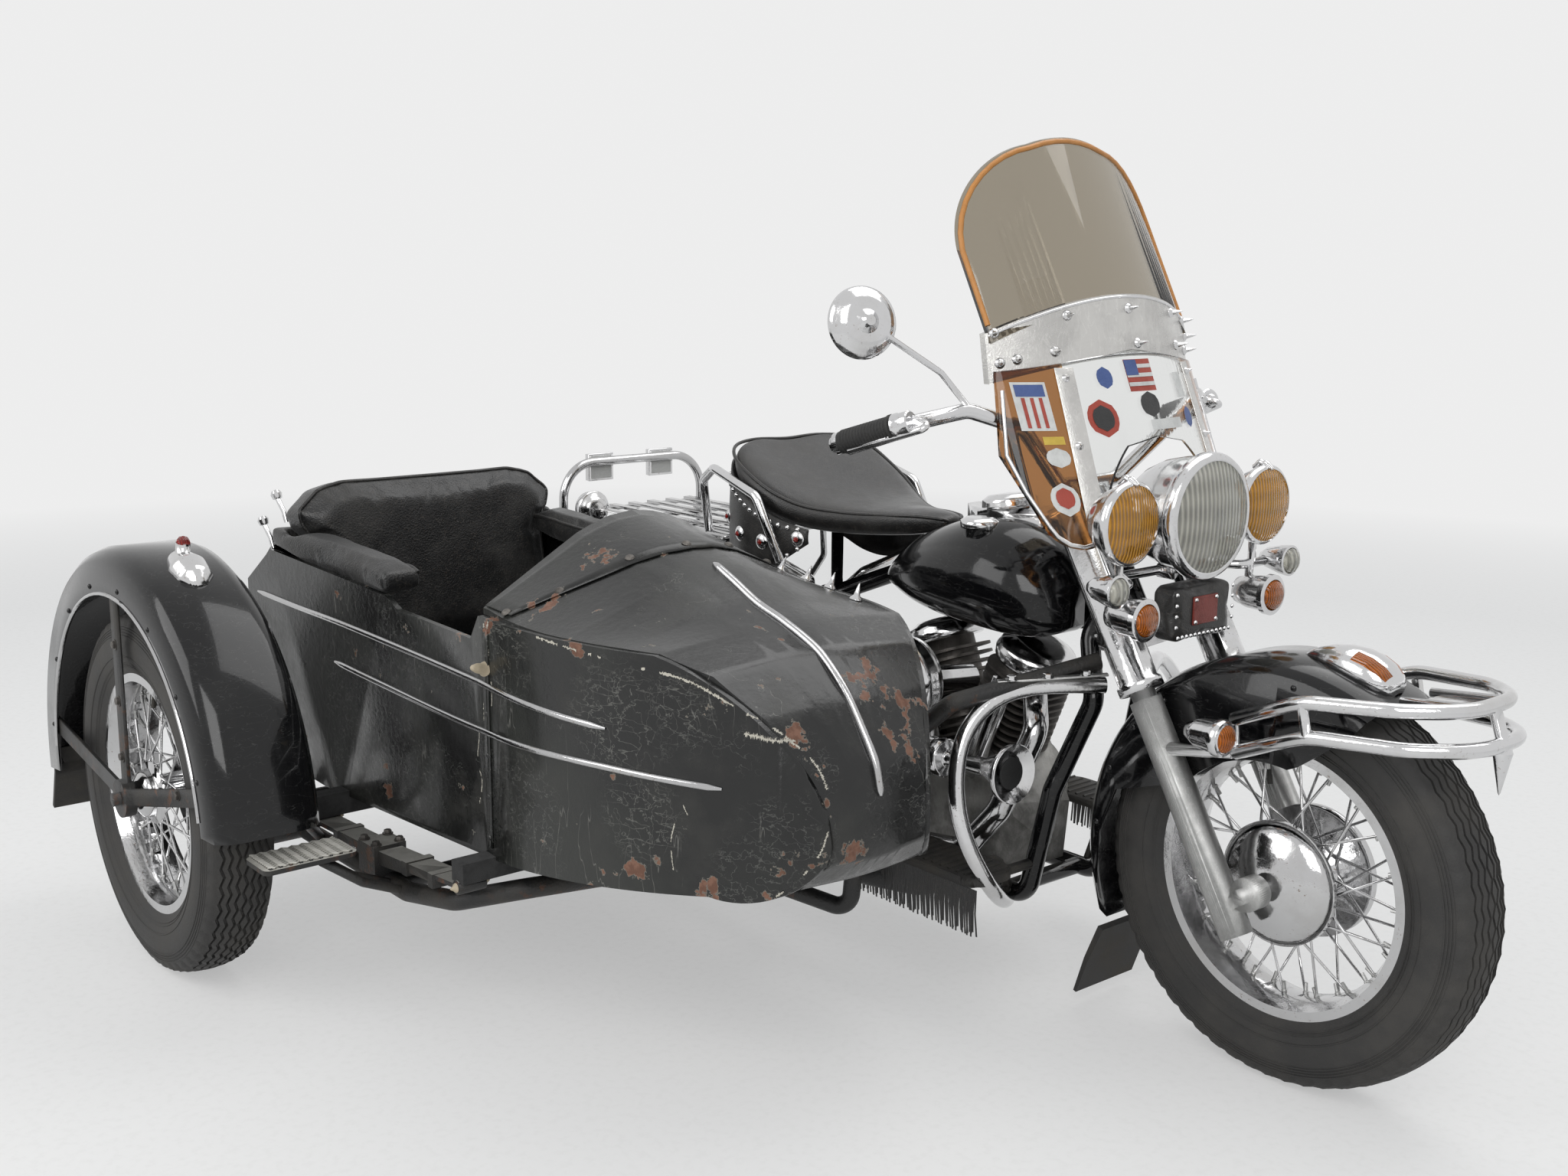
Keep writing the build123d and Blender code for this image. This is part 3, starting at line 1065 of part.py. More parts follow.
PIECES = {
    "fork_legs": fork_legs.part,
    "fork_covers": fork_covers,
    "handlebar": fitted(handlebar.part, fork_covers),
    "headlight": headlight.part,
    "spot_lamps": spot_lamps.part,
    "small_lamps": small_lamps.part,
    "pouch": pouch,
    "windshield_band": windshield_band,
    "windshield_pane": windshield_pane,
    "windshield_wings": windshield_wings,
    "front_fender": front_fender_piece,
    "front_mudflap": fitted(front_mudflap.part, front_fender_piece),
    "front_fender_lamp": front_fender_lamp,
    "bumper": bumper,
    "bike_frame": bike_frame,
    "engine_case": engine_case,
    "primary_cover": fitted(primary_cover.part, bike_frame),
    "cylinders": cylinders,
    "rocker_gear": rocker_gear,
    "air_cleaner": air_cleaner,
    "exhaust": exhaust,
    "horn": horn,
    "fuel_tanks": fuel_tanks,
    "tank_fittings": tank_fittings,
    "saddle": saddle.part,
    "saddle_skirt": saddle_skirt,
    "grab_rails": grab_rails,
    "rear_fender": rear_fender,
    "luggage_rack": luggage_rack,
    "rear_lamps": rear_lamps,
    "floorboards": floorboards,
    "crash_bars": crash_bars,
    "final_chain": final_chain,
    "sidecar_frame": sidecar_frame,
    "wheel_bracket": wheel_bracket,
    "sidecar_fender": sidecar_fender,
    "sidecar_fender_lamp": sidecar_fender_lamp,
    "sidecar_mudflap": sidecar_mudflap,
    "leaf_springs": leaf_springs,
    "body_side_right": body_sides[0],
    "body_side_left": body_sides[1],
    "body_cowl": body_cowl,
    "body_tail": body_tail.part,
    "body_floor": body_floor.part,
    "seat_cushion": seat_cushion_seated,
    "seat_back": seat_back,
    "armrests": armrests,
    "step_plate": step_plate,
}
for label, piece in PIECES.items():
    save(piece, label)
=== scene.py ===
"""Looks of an old sidecar motorcycle, dressed over its solids."""

import json  # noqa: E402
from math import atan2, cos, pi, radians, sin, sqrt  # noqa: E402
from random import Random  # noqa: E402

import bmesh  # noqa: E402
import bpy  # noqa: E402
from bpy.props import FloatProperty, FloatVectorProperty, IntProperty, PointerProperty  # noqa: E402
from bpy.types import Operator, Panel, PropertyGroup  # noqa: E402
from mathutils import Matrix, Vector  # noqa: E402
from mathutils.bvhtree import BVHTree  # noqa: E402

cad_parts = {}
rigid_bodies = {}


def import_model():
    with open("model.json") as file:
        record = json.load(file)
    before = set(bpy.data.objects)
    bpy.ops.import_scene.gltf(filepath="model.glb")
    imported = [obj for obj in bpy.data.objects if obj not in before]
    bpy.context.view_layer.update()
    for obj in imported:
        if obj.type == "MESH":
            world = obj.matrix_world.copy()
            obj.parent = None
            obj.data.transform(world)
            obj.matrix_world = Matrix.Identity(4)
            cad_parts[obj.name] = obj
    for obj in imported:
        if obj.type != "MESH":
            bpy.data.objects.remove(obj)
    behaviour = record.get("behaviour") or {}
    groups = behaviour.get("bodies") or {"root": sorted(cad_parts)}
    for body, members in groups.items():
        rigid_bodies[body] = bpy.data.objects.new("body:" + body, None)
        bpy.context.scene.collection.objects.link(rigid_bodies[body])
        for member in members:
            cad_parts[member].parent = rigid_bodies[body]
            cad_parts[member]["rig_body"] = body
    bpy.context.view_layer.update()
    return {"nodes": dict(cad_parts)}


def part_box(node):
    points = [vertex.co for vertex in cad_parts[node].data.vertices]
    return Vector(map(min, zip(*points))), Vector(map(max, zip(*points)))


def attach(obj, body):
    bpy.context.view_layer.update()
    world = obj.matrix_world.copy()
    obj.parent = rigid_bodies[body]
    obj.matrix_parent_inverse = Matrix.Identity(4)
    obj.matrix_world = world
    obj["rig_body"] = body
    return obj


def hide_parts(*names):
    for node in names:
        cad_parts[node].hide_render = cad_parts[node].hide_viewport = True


bl_info = {
    "name": "Sidecar motorcycle finishes",
    "version": (1, 0, 0),
    "blender": (4, 5, 0),
    "location": "View3D > Sidebar > Sidecar",
    "description": "Builds the finishes, lamps, leather and trim of a sidecar motorcycle",
    "category": "Object",
}

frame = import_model()
NODES = frame["nodes"]

# Stations are in millimetres from the rear axle on the motorcycle's centre plane: x forward, y left, z up.
MIDDLE = Vector((680, -445, 0))
MM_IN_M = 1000
AXLE_Z = 325
WHEELS = {"front": (1511, 0), "rear": (0, 0), "sidecar": (0, -1193)}
CAR_Y, CAR_HALF = -630, 290
CHASSIS, STEERING = "chassis", "steering"
SIDES = (("left", 1), ("right", -1))
# Corners of a solid's mesh nearer than this, in metres, are one
MERGE_REACH = 1e-5


def at(x, y, z):
    """Point of a station, in metres of the shared frame."""
    return (Vector((x, y, z)) - MIDDLE) / MM_IN_M


def station_of(point):
    """Station of a point of the shared frame."""
    return Vector(point) * MM_IN_M + MIDDLE


def on_side(place, side):
    """The place itself, or its mirror image where the side is -1."""
    return Vector((place.x, side * place.y, place.z))


# Shapes, in stations, collected in a bmesh


def full_turn(steps):
    """Equal angles round one turn."""
    return [2 * pi * i / steps for i in range(steps)]


def lathe(bm, profile, centre, axis, steps):
    """Turns a profile of (distance along the axis, radius) about the axis through the centre."""
    axis = Vector(axis).normalized()
    side = axis.orthogonal().normalized()
    up = axis.cross(side)
    centre = Vector(centre)
    rings = []
    for station, radius in profile:
        base = centre + axis * station
        if radius < 1e-6:
            rings.append([bm.verts.new(base)] * steps)
            continue
        rings.append([bm.verts.new(base + (side * cos(t) + up * sin(t)) * radius) for t in full_turn(steps)])
    for a, b in zip(rings, rings[1:]):
        for i in range(steps):
            j = (i + 1) % steps
            corners = list(dict.fromkeys((a[i], b[i], b[j], a[j])))
            if len(corners) > 2:
                bm.faces.new(corners)


def smooth_line(points, steps=6):
    """Points along a smooth line that passes through the given ones."""
    p = [Vector(q) for q in points]
    p = [p[0] * 2 - p[1]] + p + [p[-1] * 2 - p[-2]]
    line = []
    for a, b, c, d in zip(p, p[1:], p[2:], p[3:]):
        for i in range(steps):
            t = i / steps
            line.append(0.5 * ((2 * b) + (c - a) * t + (2 * a - 5 * b + 4 * c - d) * t * t
                               + (3 * b - a - 3 * c + d) * t ** 3))
    return line + [p[-2]]


def tube(bm, line, radius, steps, flat=1.0, up=(0, 0, 1)):
    """Closed rod along a line. Flat below 1 presses it into a strip, thin along the given up."""
    line = [Vector(q) for q in line]
    normal = Vector(up)
    rows = []
    for i, q in enumerate(line):
        tangent = (line[min(i + 1, len(line) - 1)] - line[max(i - 1, 0)]).normalized()
        normal = normal - tangent * normal.dot(tangent)
        normal = tangent.orthogonal().normalized() if normal.length < 1e-4 else normal.normalized()
        side = tangent.cross(normal)
        r = radius(i / (len(line) - 1)) if callable(radius) else radius
        rows.append([q + side * cos(t) * r + normal * sin(t) * r * flat for t in full_turn(steps)])
    rings = grid(bm, rows, closed=True)
    bm.faces.new(list(reversed(rings[0])))
    bm.faces.new(rings[-1])


def block(bm, centre, size):
    """Box of a size about its centre."""
    half = Vector(size) / 2
    corners = [bm.verts.new(Vector(centre) + Vector((half.x * i, half.y * j, half.z * k)))
               for i in (-1, 1) for j in (-1, 1) for k in (-1, 1)]
    for face in ((0, 1, 3, 2), (4, 6, 7, 5), (0, 4, 5, 1), (2, 3, 7, 6), (0, 2, 6, 4), (1, 5, 7, 3)):
        bm.faces.new([corners[i] for i in face])


def grid(bm, rows, closed=False):
    """Quads between rows of points, closed round each row where asked."""
    made = [[bm.verts.new(Vector(q)) for q in row] for row in rows]
    for a, b in zip(made, made[1:]):
        n = len(a)
        for i in range(n if closed else n - 1):
            j = (i + 1) % n
            bm.faces.new((a[i], a[j], b[j], b[i]))
    return made


def plate(bm, outline, thickness, across):
    """Flat plate from an outline of points, thickened across its plane."""
    push = Vector(across).normalized() * thickness / 2
    low = [bm.verts.new(Vector(q) - push) for q in outline]
    high = [bm.verts.new(Vector(q) + push) for q in outline]
    bm.faces.new(low)
    bm.faces.new(list(reversed(high)))
    n = len(outline)
    for i in range(n):
        bm.faces.new((low[i], high[i], high[(i + 1) % n], low[(i + 1) % n]))


# Objects of meshes


def mesh_of(bm, name):
    """New mesh of a bmesh, which is freed."""
    mesh = bpy.data.meshes.new(name)
    bm.to_mesh(mesh)
    bm.free()
    return mesh


def linked(name, data):
    """New object of some data, linked into the scene."""
    piece = bpy.data.objects.new(name, data)
    bpy.context.scene.collection.objects.link(piece)
    return piece


def merged(mesh):
    """A mesh as a bmesh, with its doubled corners merged."""
    bm = bmesh.new()
    bm.from_mesh(mesh)
    bmesh.ops.remove_doubles(bm, verts=bm.verts, dist=MERGE_REACH)
    return bm


def shade(mesh, sharp):
    """Smooth shading, where edges over an angle in degrees stay sharp."""
    mesh.shade_smooth()
    mesh.set_sharp_from_angle(angle=radians(sharp))


def subdivided(piece, levels):
    """Adds a Subdivision modifier."""
    soft = piece.modifiers.new("soft", "SUBSURF")
    soft.levels = soft.render_levels = levels


def applied(piece):
    """Gives a piece the mesh that its modifiers make, and removes them."""
    bpy.context.view_layer.update()
    result = bpy.data.meshes.new_from_object(piece.evaluated_get(bpy.context.evaluated_depsgraph_get()))
    piece.modifiers.clear()
    piece.data = result
    return result


def add_piece(name, bm, finish, body, stands_for=(), sharp=38, solid=0, bevel=0, subdivide=0):
    """Makes an object of a bmesh in stations, gives it its finish and lets it ride on a body."""
    bmesh.ops.recalc_face_normals(bm, faces=bm.faces)
    for vertex in bm.verts:
        vertex.co = at(*vertex.co)
    mesh = mesh_of(bm, name)
    shade(mesh, sharp)
    mesh.materials.append(finish)
    piece = linked(name, mesh)
    if solid:
        wall = piece.modifiers.new("wall", "SOLIDIFY")
        wall.thickness, wall.offset = solid / MM_IN_M, 0
    if bevel:
        edge = piece.modifiers.new("edge", "BEVEL")
        edge.width, edge.segments, edge.limit_method = bevel / MM_IN_M, 2, "ANGLE"
    if subdivide:
        subdivided(piece, subdivide)
    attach(piece, body)
    if stands_for:
        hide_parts(*stands_for)
    return piece


def smoothed(node, finish, sharp):
    """A merged, smoothly shaded copy of a solid stands for it in one finish."""
    source = NODES[node]
    mesh = mesh_of(merged(source.data), "skin_" + node)
    shade(mesh, sharp)
    mesh.materials.clear()
    mesh.materials.append(finish)
    piece = linked("skin_" + node, mesh)
    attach(piece, source["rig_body"])
    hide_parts(node)
    return piece


# Nodes


def feed(tree, socket, value):
    """Links a socket, or sets a plain value."""
    if isinstance(value, bpy.types.NodeSocket):
        tree.links.new(value, socket)
    else:
        socket.default_value = value


def math_node(tree, operation, a, b=None, clamp=False):
    """Adds a Math node on one or two sockets or plain values; gives its output."""
    node = tree.nodes.new("ShaderNodeMath")
    node.operation, node.use_clamp = operation, clamp
    feed(tree, node.inputs[0], a)
    if b is not None:
        feed(tree, node.inputs[1], b)
    return node.outputs[0]


# Small parts set out by Geometry Nodes


def parts_on_spots_tree():
    """Tree that sets one part on every spot, facing out, with a little unevenness from a fixed seed."""
    tree = bpy.data.node_groups.new("parts_on_spots", "GeometryNodeTree")
    tree.is_modifier = True
    for label, kind in (("Spots", "Geometry"), ("Part", "Object"), ("Finish", "Material"), ("Size", "Float"),
                        ("Unevenness", "Float"), ("Seed", "Int")):
        tree.interface.new_socket(label, in_out="INPUT", socket_type="NodeSocket" + kind)
    tree.interface.new_socket("Parts", in_out="OUTPUT", socket_type="NodeSocketGeometry")
    node, link = tree.nodes.new, tree.links.new
    given, result = node("NodeGroupInput").outputs, node("NodeGroupOutput")
    part = node("GeometryNodeObjectInfo")
    link(given["Part"], part.inputs["Object"])
    turn = node("FunctionNodeAxesToRotation")
    turn.primary_axis, turn.secondary_axis = "Z", "X"
    for label, axis in (("facing", "Primary Axis"), ("along", "Secondary Axis")):
        stored = node("GeometryNodeInputNamedAttribute")
        stored.data_type = "FLOAT_VECTOR"
        stored.inputs["Name"].default_value = label
        link(stored.outputs["Attribute"], turn.inputs[axis])
    spread = node("FunctionNodeRandomValue")
    for name, operation in (("Min", "SUBTRACT"), ("Max", "ADD")):
        bound = [s for s in spread.inputs if s.name == name and s.type == "VALUE"][0]
        link(math_node(tree, operation, 1, given["Unevenness"]), bound)
    link(given["Seed"], spread.inputs["Seed"])
    factor = [s for s in spread.outputs if s.type == "VALUE"][0]
    size = math_node(tree, "MULTIPLY", given["Size"], factor)
    place = node("GeometryNodeInstanceOnPoints")
    link(given["Spots"], place.inputs["Points"])
    link(part.outputs["Geometry"], place.inputs["Instance"])
    link(turn.outputs["Rotation"], place.inputs["Rotation"])
    link(size, place.inputs["Scale"])
    real, paint = node("GeometryNodeRealizeInstances"), node("GeometryNodeSetMaterial")
    link(place.outputs["Instances"], real.inputs["Geometry"])
    link(real.outputs["Geometry"], paint.inputs["Geometry"])
    link(given["Finish"], paint.inputs["Material"])
    link(paint.outputs["Geometry"], result.inputs["Parts"])
    return tree


def set_out(name, shape, spots, finish, body, size=1.0, uneven=0.0, seed=7, sharp=40):
    """Sets a small part, a bmesh in millimetres with z outwards, on spots of (point, facing, along)."""
    tree = bpy.data.node_groups.get("parts_on_spots") or parts_on_spots_tree()
    bmesh.ops.recalc_face_normals(shape, faces=shape.faces)
    for vertex in shape.verts:
        vertex.co /= MM_IN_M
    part = linked(name + "_part", mesh_of(shape, name + "_part"))
    mesh = bpy.data.meshes.new(name)
    mesh.from_pydata([at(*p) for p, _, _ in spots], [], [])
    for label, column in (("facing", 1), ("along", 2)):
        attribute = mesh.attributes.new(label, "FLOAT_VECTOR", "POINT")
        for i, spot in enumerate(spots):
            attribute.data[i].vector = Vector(spot[column]).normalized()
    piece = linked(name, mesh)
    setter = piece.modifiers.new("parts", "NODES")
    setter.node_group = tree
    values = {"Part": part, "Finish": finish, "Size": float(size), "Unevenness": float(uneven), "Seed": seed}
    for item in tree.interface.items_tree:
        if item.in_out == "INPUT" and item.name in values:
            setter[item.identifier] = values[item.name]
    result = applied(piece)
    bpy.data.objects.remove(part)
    for label in ("facing", "along"):
        if result.attributes.get(label):
            result.attributes.remove(result.attributes[label])
    shade(result, sharp)
    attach(piece, body)
    return piece


def upright(spots):
    """Spots of (point, normal) to set parts out on, each with the upward direction along it."""
    return [(place, normal, (0, 0, 1)) for place, normal in spots]


def head(radius, height, steps=10, tip=0.0):
    """Small fastener head: domed, or drawn out to a point where tip is its height above the dome."""
    bm = bmesh.new()
    profile = [(-0.6, radius * 0.9), (0, radius), (height * 0.45, radius * 0.86),
               (height * 0.85, radius * 0.5)]
    if tip:
        profile += [(height + tip * 0.5, radius * 0.3), (height + tip * 0.9, radius * 0.1)]
    lathe(bm, profile + [(height + tip, 0)], (0, 0, 0), (0, 0, 1), steps)
    return bm


def hexagon(radius, height):
    """Hexagon bolt head on a washer."""
    bm = bmesh.new()
    lathe(bm, [(-0.5, radius * 1.35), (1.2, radius * 1.35), (1.2, radius * 1.0)], (0, 0, 0), (0, 0, 1), 14)
    lathe(bm, [(1, radius), (height * 0.85, radius), (height, radius * 0.86), (height, 0)],
          (0, 0, 0), (0, 0, 1), 6)
    return bm


# Finishes

VECTOR, FLOAT = "NodeSocketVector", "NodeSocketFloat"


def shader_group(name, output, **given):
    """Empty node group of coordinates and named values; gives its tree, its inputs and its one output."""
    tree = bpy.data.node_groups.new(name, "ShaderNodeTree")
    tree.interface.new_socket("Vector", in_out="INPUT", socket_type=VECTOR)
    for label, value in given.items():
        kind = VECTOR if isinstance(value, tuple) else FLOAT
        tree.interface.new_socket(label, in_out="INPUT", socket_type=kind).default_value = value
    tree.interface.new_socket(output, in_out="OUTPUT", socket_type=FLOAT)
    return tree, tree.nodes.new("NodeGroupInput").outputs, tree.nodes.new("NodeGroupOutput").inputs[output]


def patches_group():
    """Soft patches of noise between two thresholds."""
    tree, given, mask = shader_group("patches", "Mask", Scale=8.0, Low=0.45, High=0.6)
    cloud, band = tree.nodes.new("ShaderNodeTexNoise"), tree.nodes.new("ShaderNodeMapRange")
    cloud.inputs["Detail"].default_value, cloud.inputs["Roughness"].default_value = 5, 0.62
    band.interpolation_type = "SMOOTHSTEP"
    tree.links.new(given["Vector"], cloud.inputs["Vector"])
    tree.links.new(given["Scale"], cloud.inputs["Scale"])
    tree.links.new(cloud.outputs["Fac"], band.inputs["Value"])
    tree.links.new(given["Low"], band.inputs["From Min"])
    tree.links.new(given["High"], band.inputs["From Max"])
    tree.links.new(band.outputs["Result"], mask)


def hairlines_group():
    """Thin wandering lines, as of scratches, cracks and creases."""
    tree, given, mask = shader_group("hairlines", "Mask", Stretch=(1, 1, 1), Scale=20.0, Width=0.02)
    pull, cloud = tree.nodes.new("ShaderNodeVectorMath"), tree.nodes.new("ShaderNodeTexNoise")
    pull.operation = "MULTIPLY"
    cloud.inputs["Detail"].default_value = 3
    tree.links.new(given["Vector"], pull.inputs[0])
    tree.links.new(given["Stretch"], pull.inputs[1])
    tree.links.new(pull.outputs[0], cloud.inputs["Vector"])
    tree.links.new(given["Scale"], cloud.inputs["Scale"])
    away = math_node(tree, "ABSOLUTE", math_node(tree, "SUBTRACT", cloud.outputs["Fac"], 0.5))
    band = math_node(tree, "DIVIDE", away, given["Width"], clamp=True)
    tree.links.new(math_node(tree, "SUBTRACT", 1, band, clamp=True), mask)


def worn_spot_group():
    """Fades from one at a centre to nothing at a radius."""
    tree, given, mask = shader_group("worn_spot", "Mask", Centre=(0, 0, 0), Radius=0.1)
    reach, band = tree.nodes.new("ShaderNodeVectorMath"), tree.nodes.new("ShaderNodeMapRange")
    reach.operation = "DISTANCE"
    band.inputs["To Min"].default_value, band.inputs["To Max"].default_value = 1, 0
    tree.links.new(given["Vector"], reach.inputs[0])
    tree.links.new(given["Centre"], reach.inputs[1])
    tree.links.new(reach.outputs["Value"], band.inputs["Value"])
    tree.links.new(given["Radius"], band.inputs["From Max"])
    tree.links.new(band.outputs["Result"], mask)


def hide_grain_group():
    """Pebbled leather: rounded cells with fine noise over them, as a height."""
    tree, given, height = shader_group("hide_grain", "Height", Scale=500.0, Crease=14.0)
    cells, cloud = tree.nodes.new("ShaderNodeTexVoronoi"), tree.nodes.new("ShaderNodeTexNoise")
    cells.feature = "SMOOTH_F1"
    cloud.inputs["Detail"].default_value = 6
    tree.links.new(given["Vector"], cells.inputs["Vector"])
    tree.links.new(given["Vector"], cloud.inputs["Vector"])
    tree.links.new(given["Scale"], cells.inputs["Scale"])
    tree.links.new(given["Crease"], cloud.inputs["Scale"])
    creases = math_node(tree, "MULTIPLY", cloud.outputs["Fac"], 1.4)
    tree.links.new(math_node(tree, "ADD", cells.outputs["Distance"], creases), height)


def flutes_group():
    """Upright flutes of a moulded lens, crossed by a few broad faint bands, as a height."""
    tree, given, height = shader_group("flutes", "Height", Scale=60.0)
    upright_wave, level_wave = tree.nodes.new("ShaderNodeTexWave"), tree.nodes.new("ShaderNodeTexWave")
    upright_wave.bands_direction, level_wave.bands_direction = "Y", "Z"
    for wave in (upright_wave, level_wave):
        tree.links.new(given["Vector"], wave.inputs["Vector"])
    tree.links.new(given["Scale"], upright_wave.inputs["Scale"])
    tree.links.new(math_node(tree, "MULTIPLY", given["Scale"], 0.24), level_wave.inputs["Scale"])
    faint = math_node(tree, "MULTIPLY", level_wave.outputs["Fac"], 0.3)
    tree.links.new(math_node(tree, "ADD", upright_wave.outputs["Fac"], faint), height)


GROUPS = {"patches": patches_group, "hairlines": hairlines_group, "worn_spot": worn_spot_group,
          "hide_grain": hide_grain_group, "flutes": flutes_group}
# Sockets of a Mix node for each kind of data: before, after and result
MIX_SOCKETS = {"FLOAT": (2, 3, 0), "RGBA": (6, 7, 2)}


class Finish:
    """A material under making, with short ways to add the nodes that feed its shader."""

    def __init__(self, name, colour, rough, metallic=0.0, **fixed):
        self.material = bpy.data.materials.new(name)
        self.material.use_nodes = True
        self.tree = self.material.node_tree
        self.shader = self.tree.nodes["Principled BSDF"]
        self.place = self.tree.nodes.new("ShaderNodeTexCoord").outputs["Object"]
        self.colour, self.rough = (*colour, 1.0), rough
        self.shader.inputs["Base Color"].default_value = self.colour
        self.shader.inputs["Roughness"].default_value = rough
        self.shader.inputs["Metallic"].default_value = metallic
        for label, value in fixed.items():
            self.shader.inputs[label.replace("_", " ")].default_value = value

    def group(self, name, **values):
        """Places a shared group with its own values, on Object coordinates; gives its one output."""
        if name not in bpy.data.node_groups:
            GROUPS[name]()
        node = self.tree.nodes.new("ShaderNodeGroup")
        node.node_tree = bpy.data.node_groups[name]
        self.tree.links.new(self.place, node.inputs["Vector"])
        for label, value in values.items():
            feed(self.tree, node.inputs[label], value)
        return node.outputs[0]

    def patches(self, scale, low, high):
        """Mask of soft patches."""
        return self.group("patches", Scale=scale, Low=low, High=high)

    def hairlines(self, scale, width, stretch=(1, 1, 1)):
        """Mask of thin wandering lines."""
        return self.group("hairlines", Scale=scale, Width=width, Stretch=stretch)

    def worn_at(self, spots):
        """Mask of spots, each a station and a reach, that fade from one to nothing."""
        mask = None
        for x, y, z, reach in spots:
            spot = self.group("worn_spot", Centre=tuple(at(x, y, z)), Radius=reach / MM_IN_M)
            mask = spot if mask is None else self.math("MAXIMUM", mask, spot)
        return mask

    def math(self, operation, a, b, clamp=False):
        """Adds a Math node on two sockets or plain values; gives its output."""
        return math_node(self.tree, operation, a, b, clamp)

    def times(self, a, b):
        """The product of two sockets or plain values."""
        return self.math("MULTIPLY", a, b)

    def above(self, level, threshold, gain):
        """Mask of where a level passes a threshold, rising to one at a gain."""
        return self.math("MULTIPLY", self.math("SUBTRACT", level, threshold, clamp=True), gain, clamp=True)

    def mixed(self, kind, mask, share, before, after):
        """Mixes two colours or values by a mask, at a share of its strength where one is given."""
        if share is not None:
            mask = self.times(mask, share)
        node = self.tree.nodes.new("ShaderNodeMix")
        node.data_type = kind
        low, high, result = MIX_SOCKETS[kind]
        feed(self.tree, node.inputs["Factor"], mask)
        feed(self.tree, node.inputs[low], before)
        feed(self.tree, node.inputs[high], after)
        return node.outputs[result]

    def tint(self, mask, colour, share=None):
        """Lays a colour over the base where the mask is white."""
        self.colour = self.mixed("RGBA", mask, share, self.colour, (*colour, 1.0))
        self.tree.links.new(self.colour, self.shader.inputs["Base Color"])
        return self

    def roughen(self, mask, rough, share=None):
        """Turns the roughness to another value where the mask is white."""
        self.rough = self.mixed("FLOAT", mask, share, self.rough, rough)
        self.tree.links.new(self.rough, self.shader.inputs["Roughness"])
        return self

    def raise_by(self, height, distance, strength=1.0):
        """Feeds a height to the normal through a Bump node."""
        node = self.tree.nodes.new("ShaderNodeBump")
        node.inputs["Distance"].default_value = distance
        node.inputs["Strength"].default_value = strength
        feed(self.tree, node.inputs["Height"], height)
        self.tree.links.new(node.outputs["Normal"], self.shader.inputs["Normal"])
        return self


def shaded(colour, share):
    """A colour darkened to a share of itself."""
    return tuple(c * share for c in colour)


def black_enamel():
    """Glossy black with dust in soft clouds and faint polishing scratches."""
    f = Finish("black_enamel", (0.0035, 0.0035, 0.004), 0.08, Specular_IOR_Level=0.22, Coat_Weight=0.4,
               Coat_Roughness=0.03)
    clouds = f.patches(5.0, 0.46, 0.76)
    f.tint(clouds, (0.02, 0.02, 0.019), 0.35).roughen(clouds, 0.26, 0.6)
    f.tint(f.hairlines(26.0, 0.006, (1, 1, 3)), (0.2, 0.2, 0.19), 0.16)
    return f.raise_by(f.patches(180.0, 0.3, 0.7), 0.00005)


# Places on the sidecar's body where the paint has chipped through: station x, y, z and reach round it
CHIPPED = [
    (1160, -556, 647, 98), (1201, -553, 590, 74), (1186, -742, 608, 34), (1217, -725, 562, 34),
    (976, -885, 385, 38), (1224, -744, 422, 40), (1180, -779, 379, 58), (1095, -832, 370, 44),
    (289, -920, 337, 30), (736, -861, 740, 44), (722, -765, 788, 54), (739, -671, 818, 40),
    (887, -909, 700, 24), (1245, -682, 434, 40), (655, -918, 700, 26), (1000, -400, 560, 62),
    (560, -345, 640, 54), (660, -345, 410, 60), (-276, -600, 480, 60), (-262, -880, 400, 50),
]

# Patches where the paint is finely scratched, in the same terms
SCRATCHED = [(960, -890, 610, 105), (700, -925, 660, 90), (1000, -872, 470, 80), (1060, -850, 640, 60)]


def worn_paint():
    """The sidecar's old black paint.

    It has greenish dull clouds, smears, crazing, pale scratches and drips, and chips down to primer and rust.
    """
    f = Finish("worn_black_paint", (0.0065, 0.0067, 0.0065), 0.2, Specular_IOR_Level=0.36, Coat_Weight=0.3,
               Coat_Roughness=0.12)
    clouds = f.patches(2.6, 0.42, 0.66)
    f.tint(clouds, (0.021, 0.0225, 0.019), 0.75).roughen(clouds, 0.44)
    smears = f.patches(9.0, 0.5, 0.7)
    f.tint(smears, (0.034, 0.033, 0.029), 0.35).roughen(smears, 0.55, 0.6)
    crazed = f.times(f.hairlines(48.0, 0.016, (1, 1, 1.5)), f.patches(3.6, 0.5, 0.6))
    f.tint(crazed, (0.24, 0.24, 0.22), 0.3)
    crossed = f.math("MAXIMUM", f.hairlines(22.0, 0.012, (0.7, 1, 2.4)),
                     f.hairlines(26.0, 0.01, (2.2, 1, 1.3)))
    scraped = f.times(f.math("MULTIPLY", f.worn_at(SCRATCHED), 2.0, clamp=True), crossed)
    f.tint(scraped, (0.3, 0.295, 0.265), 0.34)
    dripped = f.times(f.hairlines(9.0, 0.006, (2.6, 2.6, 0.5)), f.patches(5.0, 0.52, 0.58))
    f.tint(dripped, (0.34, 0.33, 0.3), 0.32)
    level = f.math("ADD", f.patches(19.0, 0.2, 0.8), f.times(f.worn_at(CHIPPED), 0.46))
    primed = f.above(level, 0.866, 40.0)
    f.tint(primed, (0.27, 0.26, 0.22), 0.6).roughen(primed, 0.6)
    chips = f.above(level, 0.885, 22.0)
    f.tint(chips, (0.12, 0.052, 0.03)).roughen(chips, 0.7)
    tones = f.patches(70.0, 0.42, 0.62)
    f.tint(f.times(chips, f.times(tones, 0.6)), (0.23, 0.115, 0.075))
    return f.raise_by(f.math("SUBTRACT", f.patches(90.0, 0.3, 0.7), primed), 0.0004, 0.6)


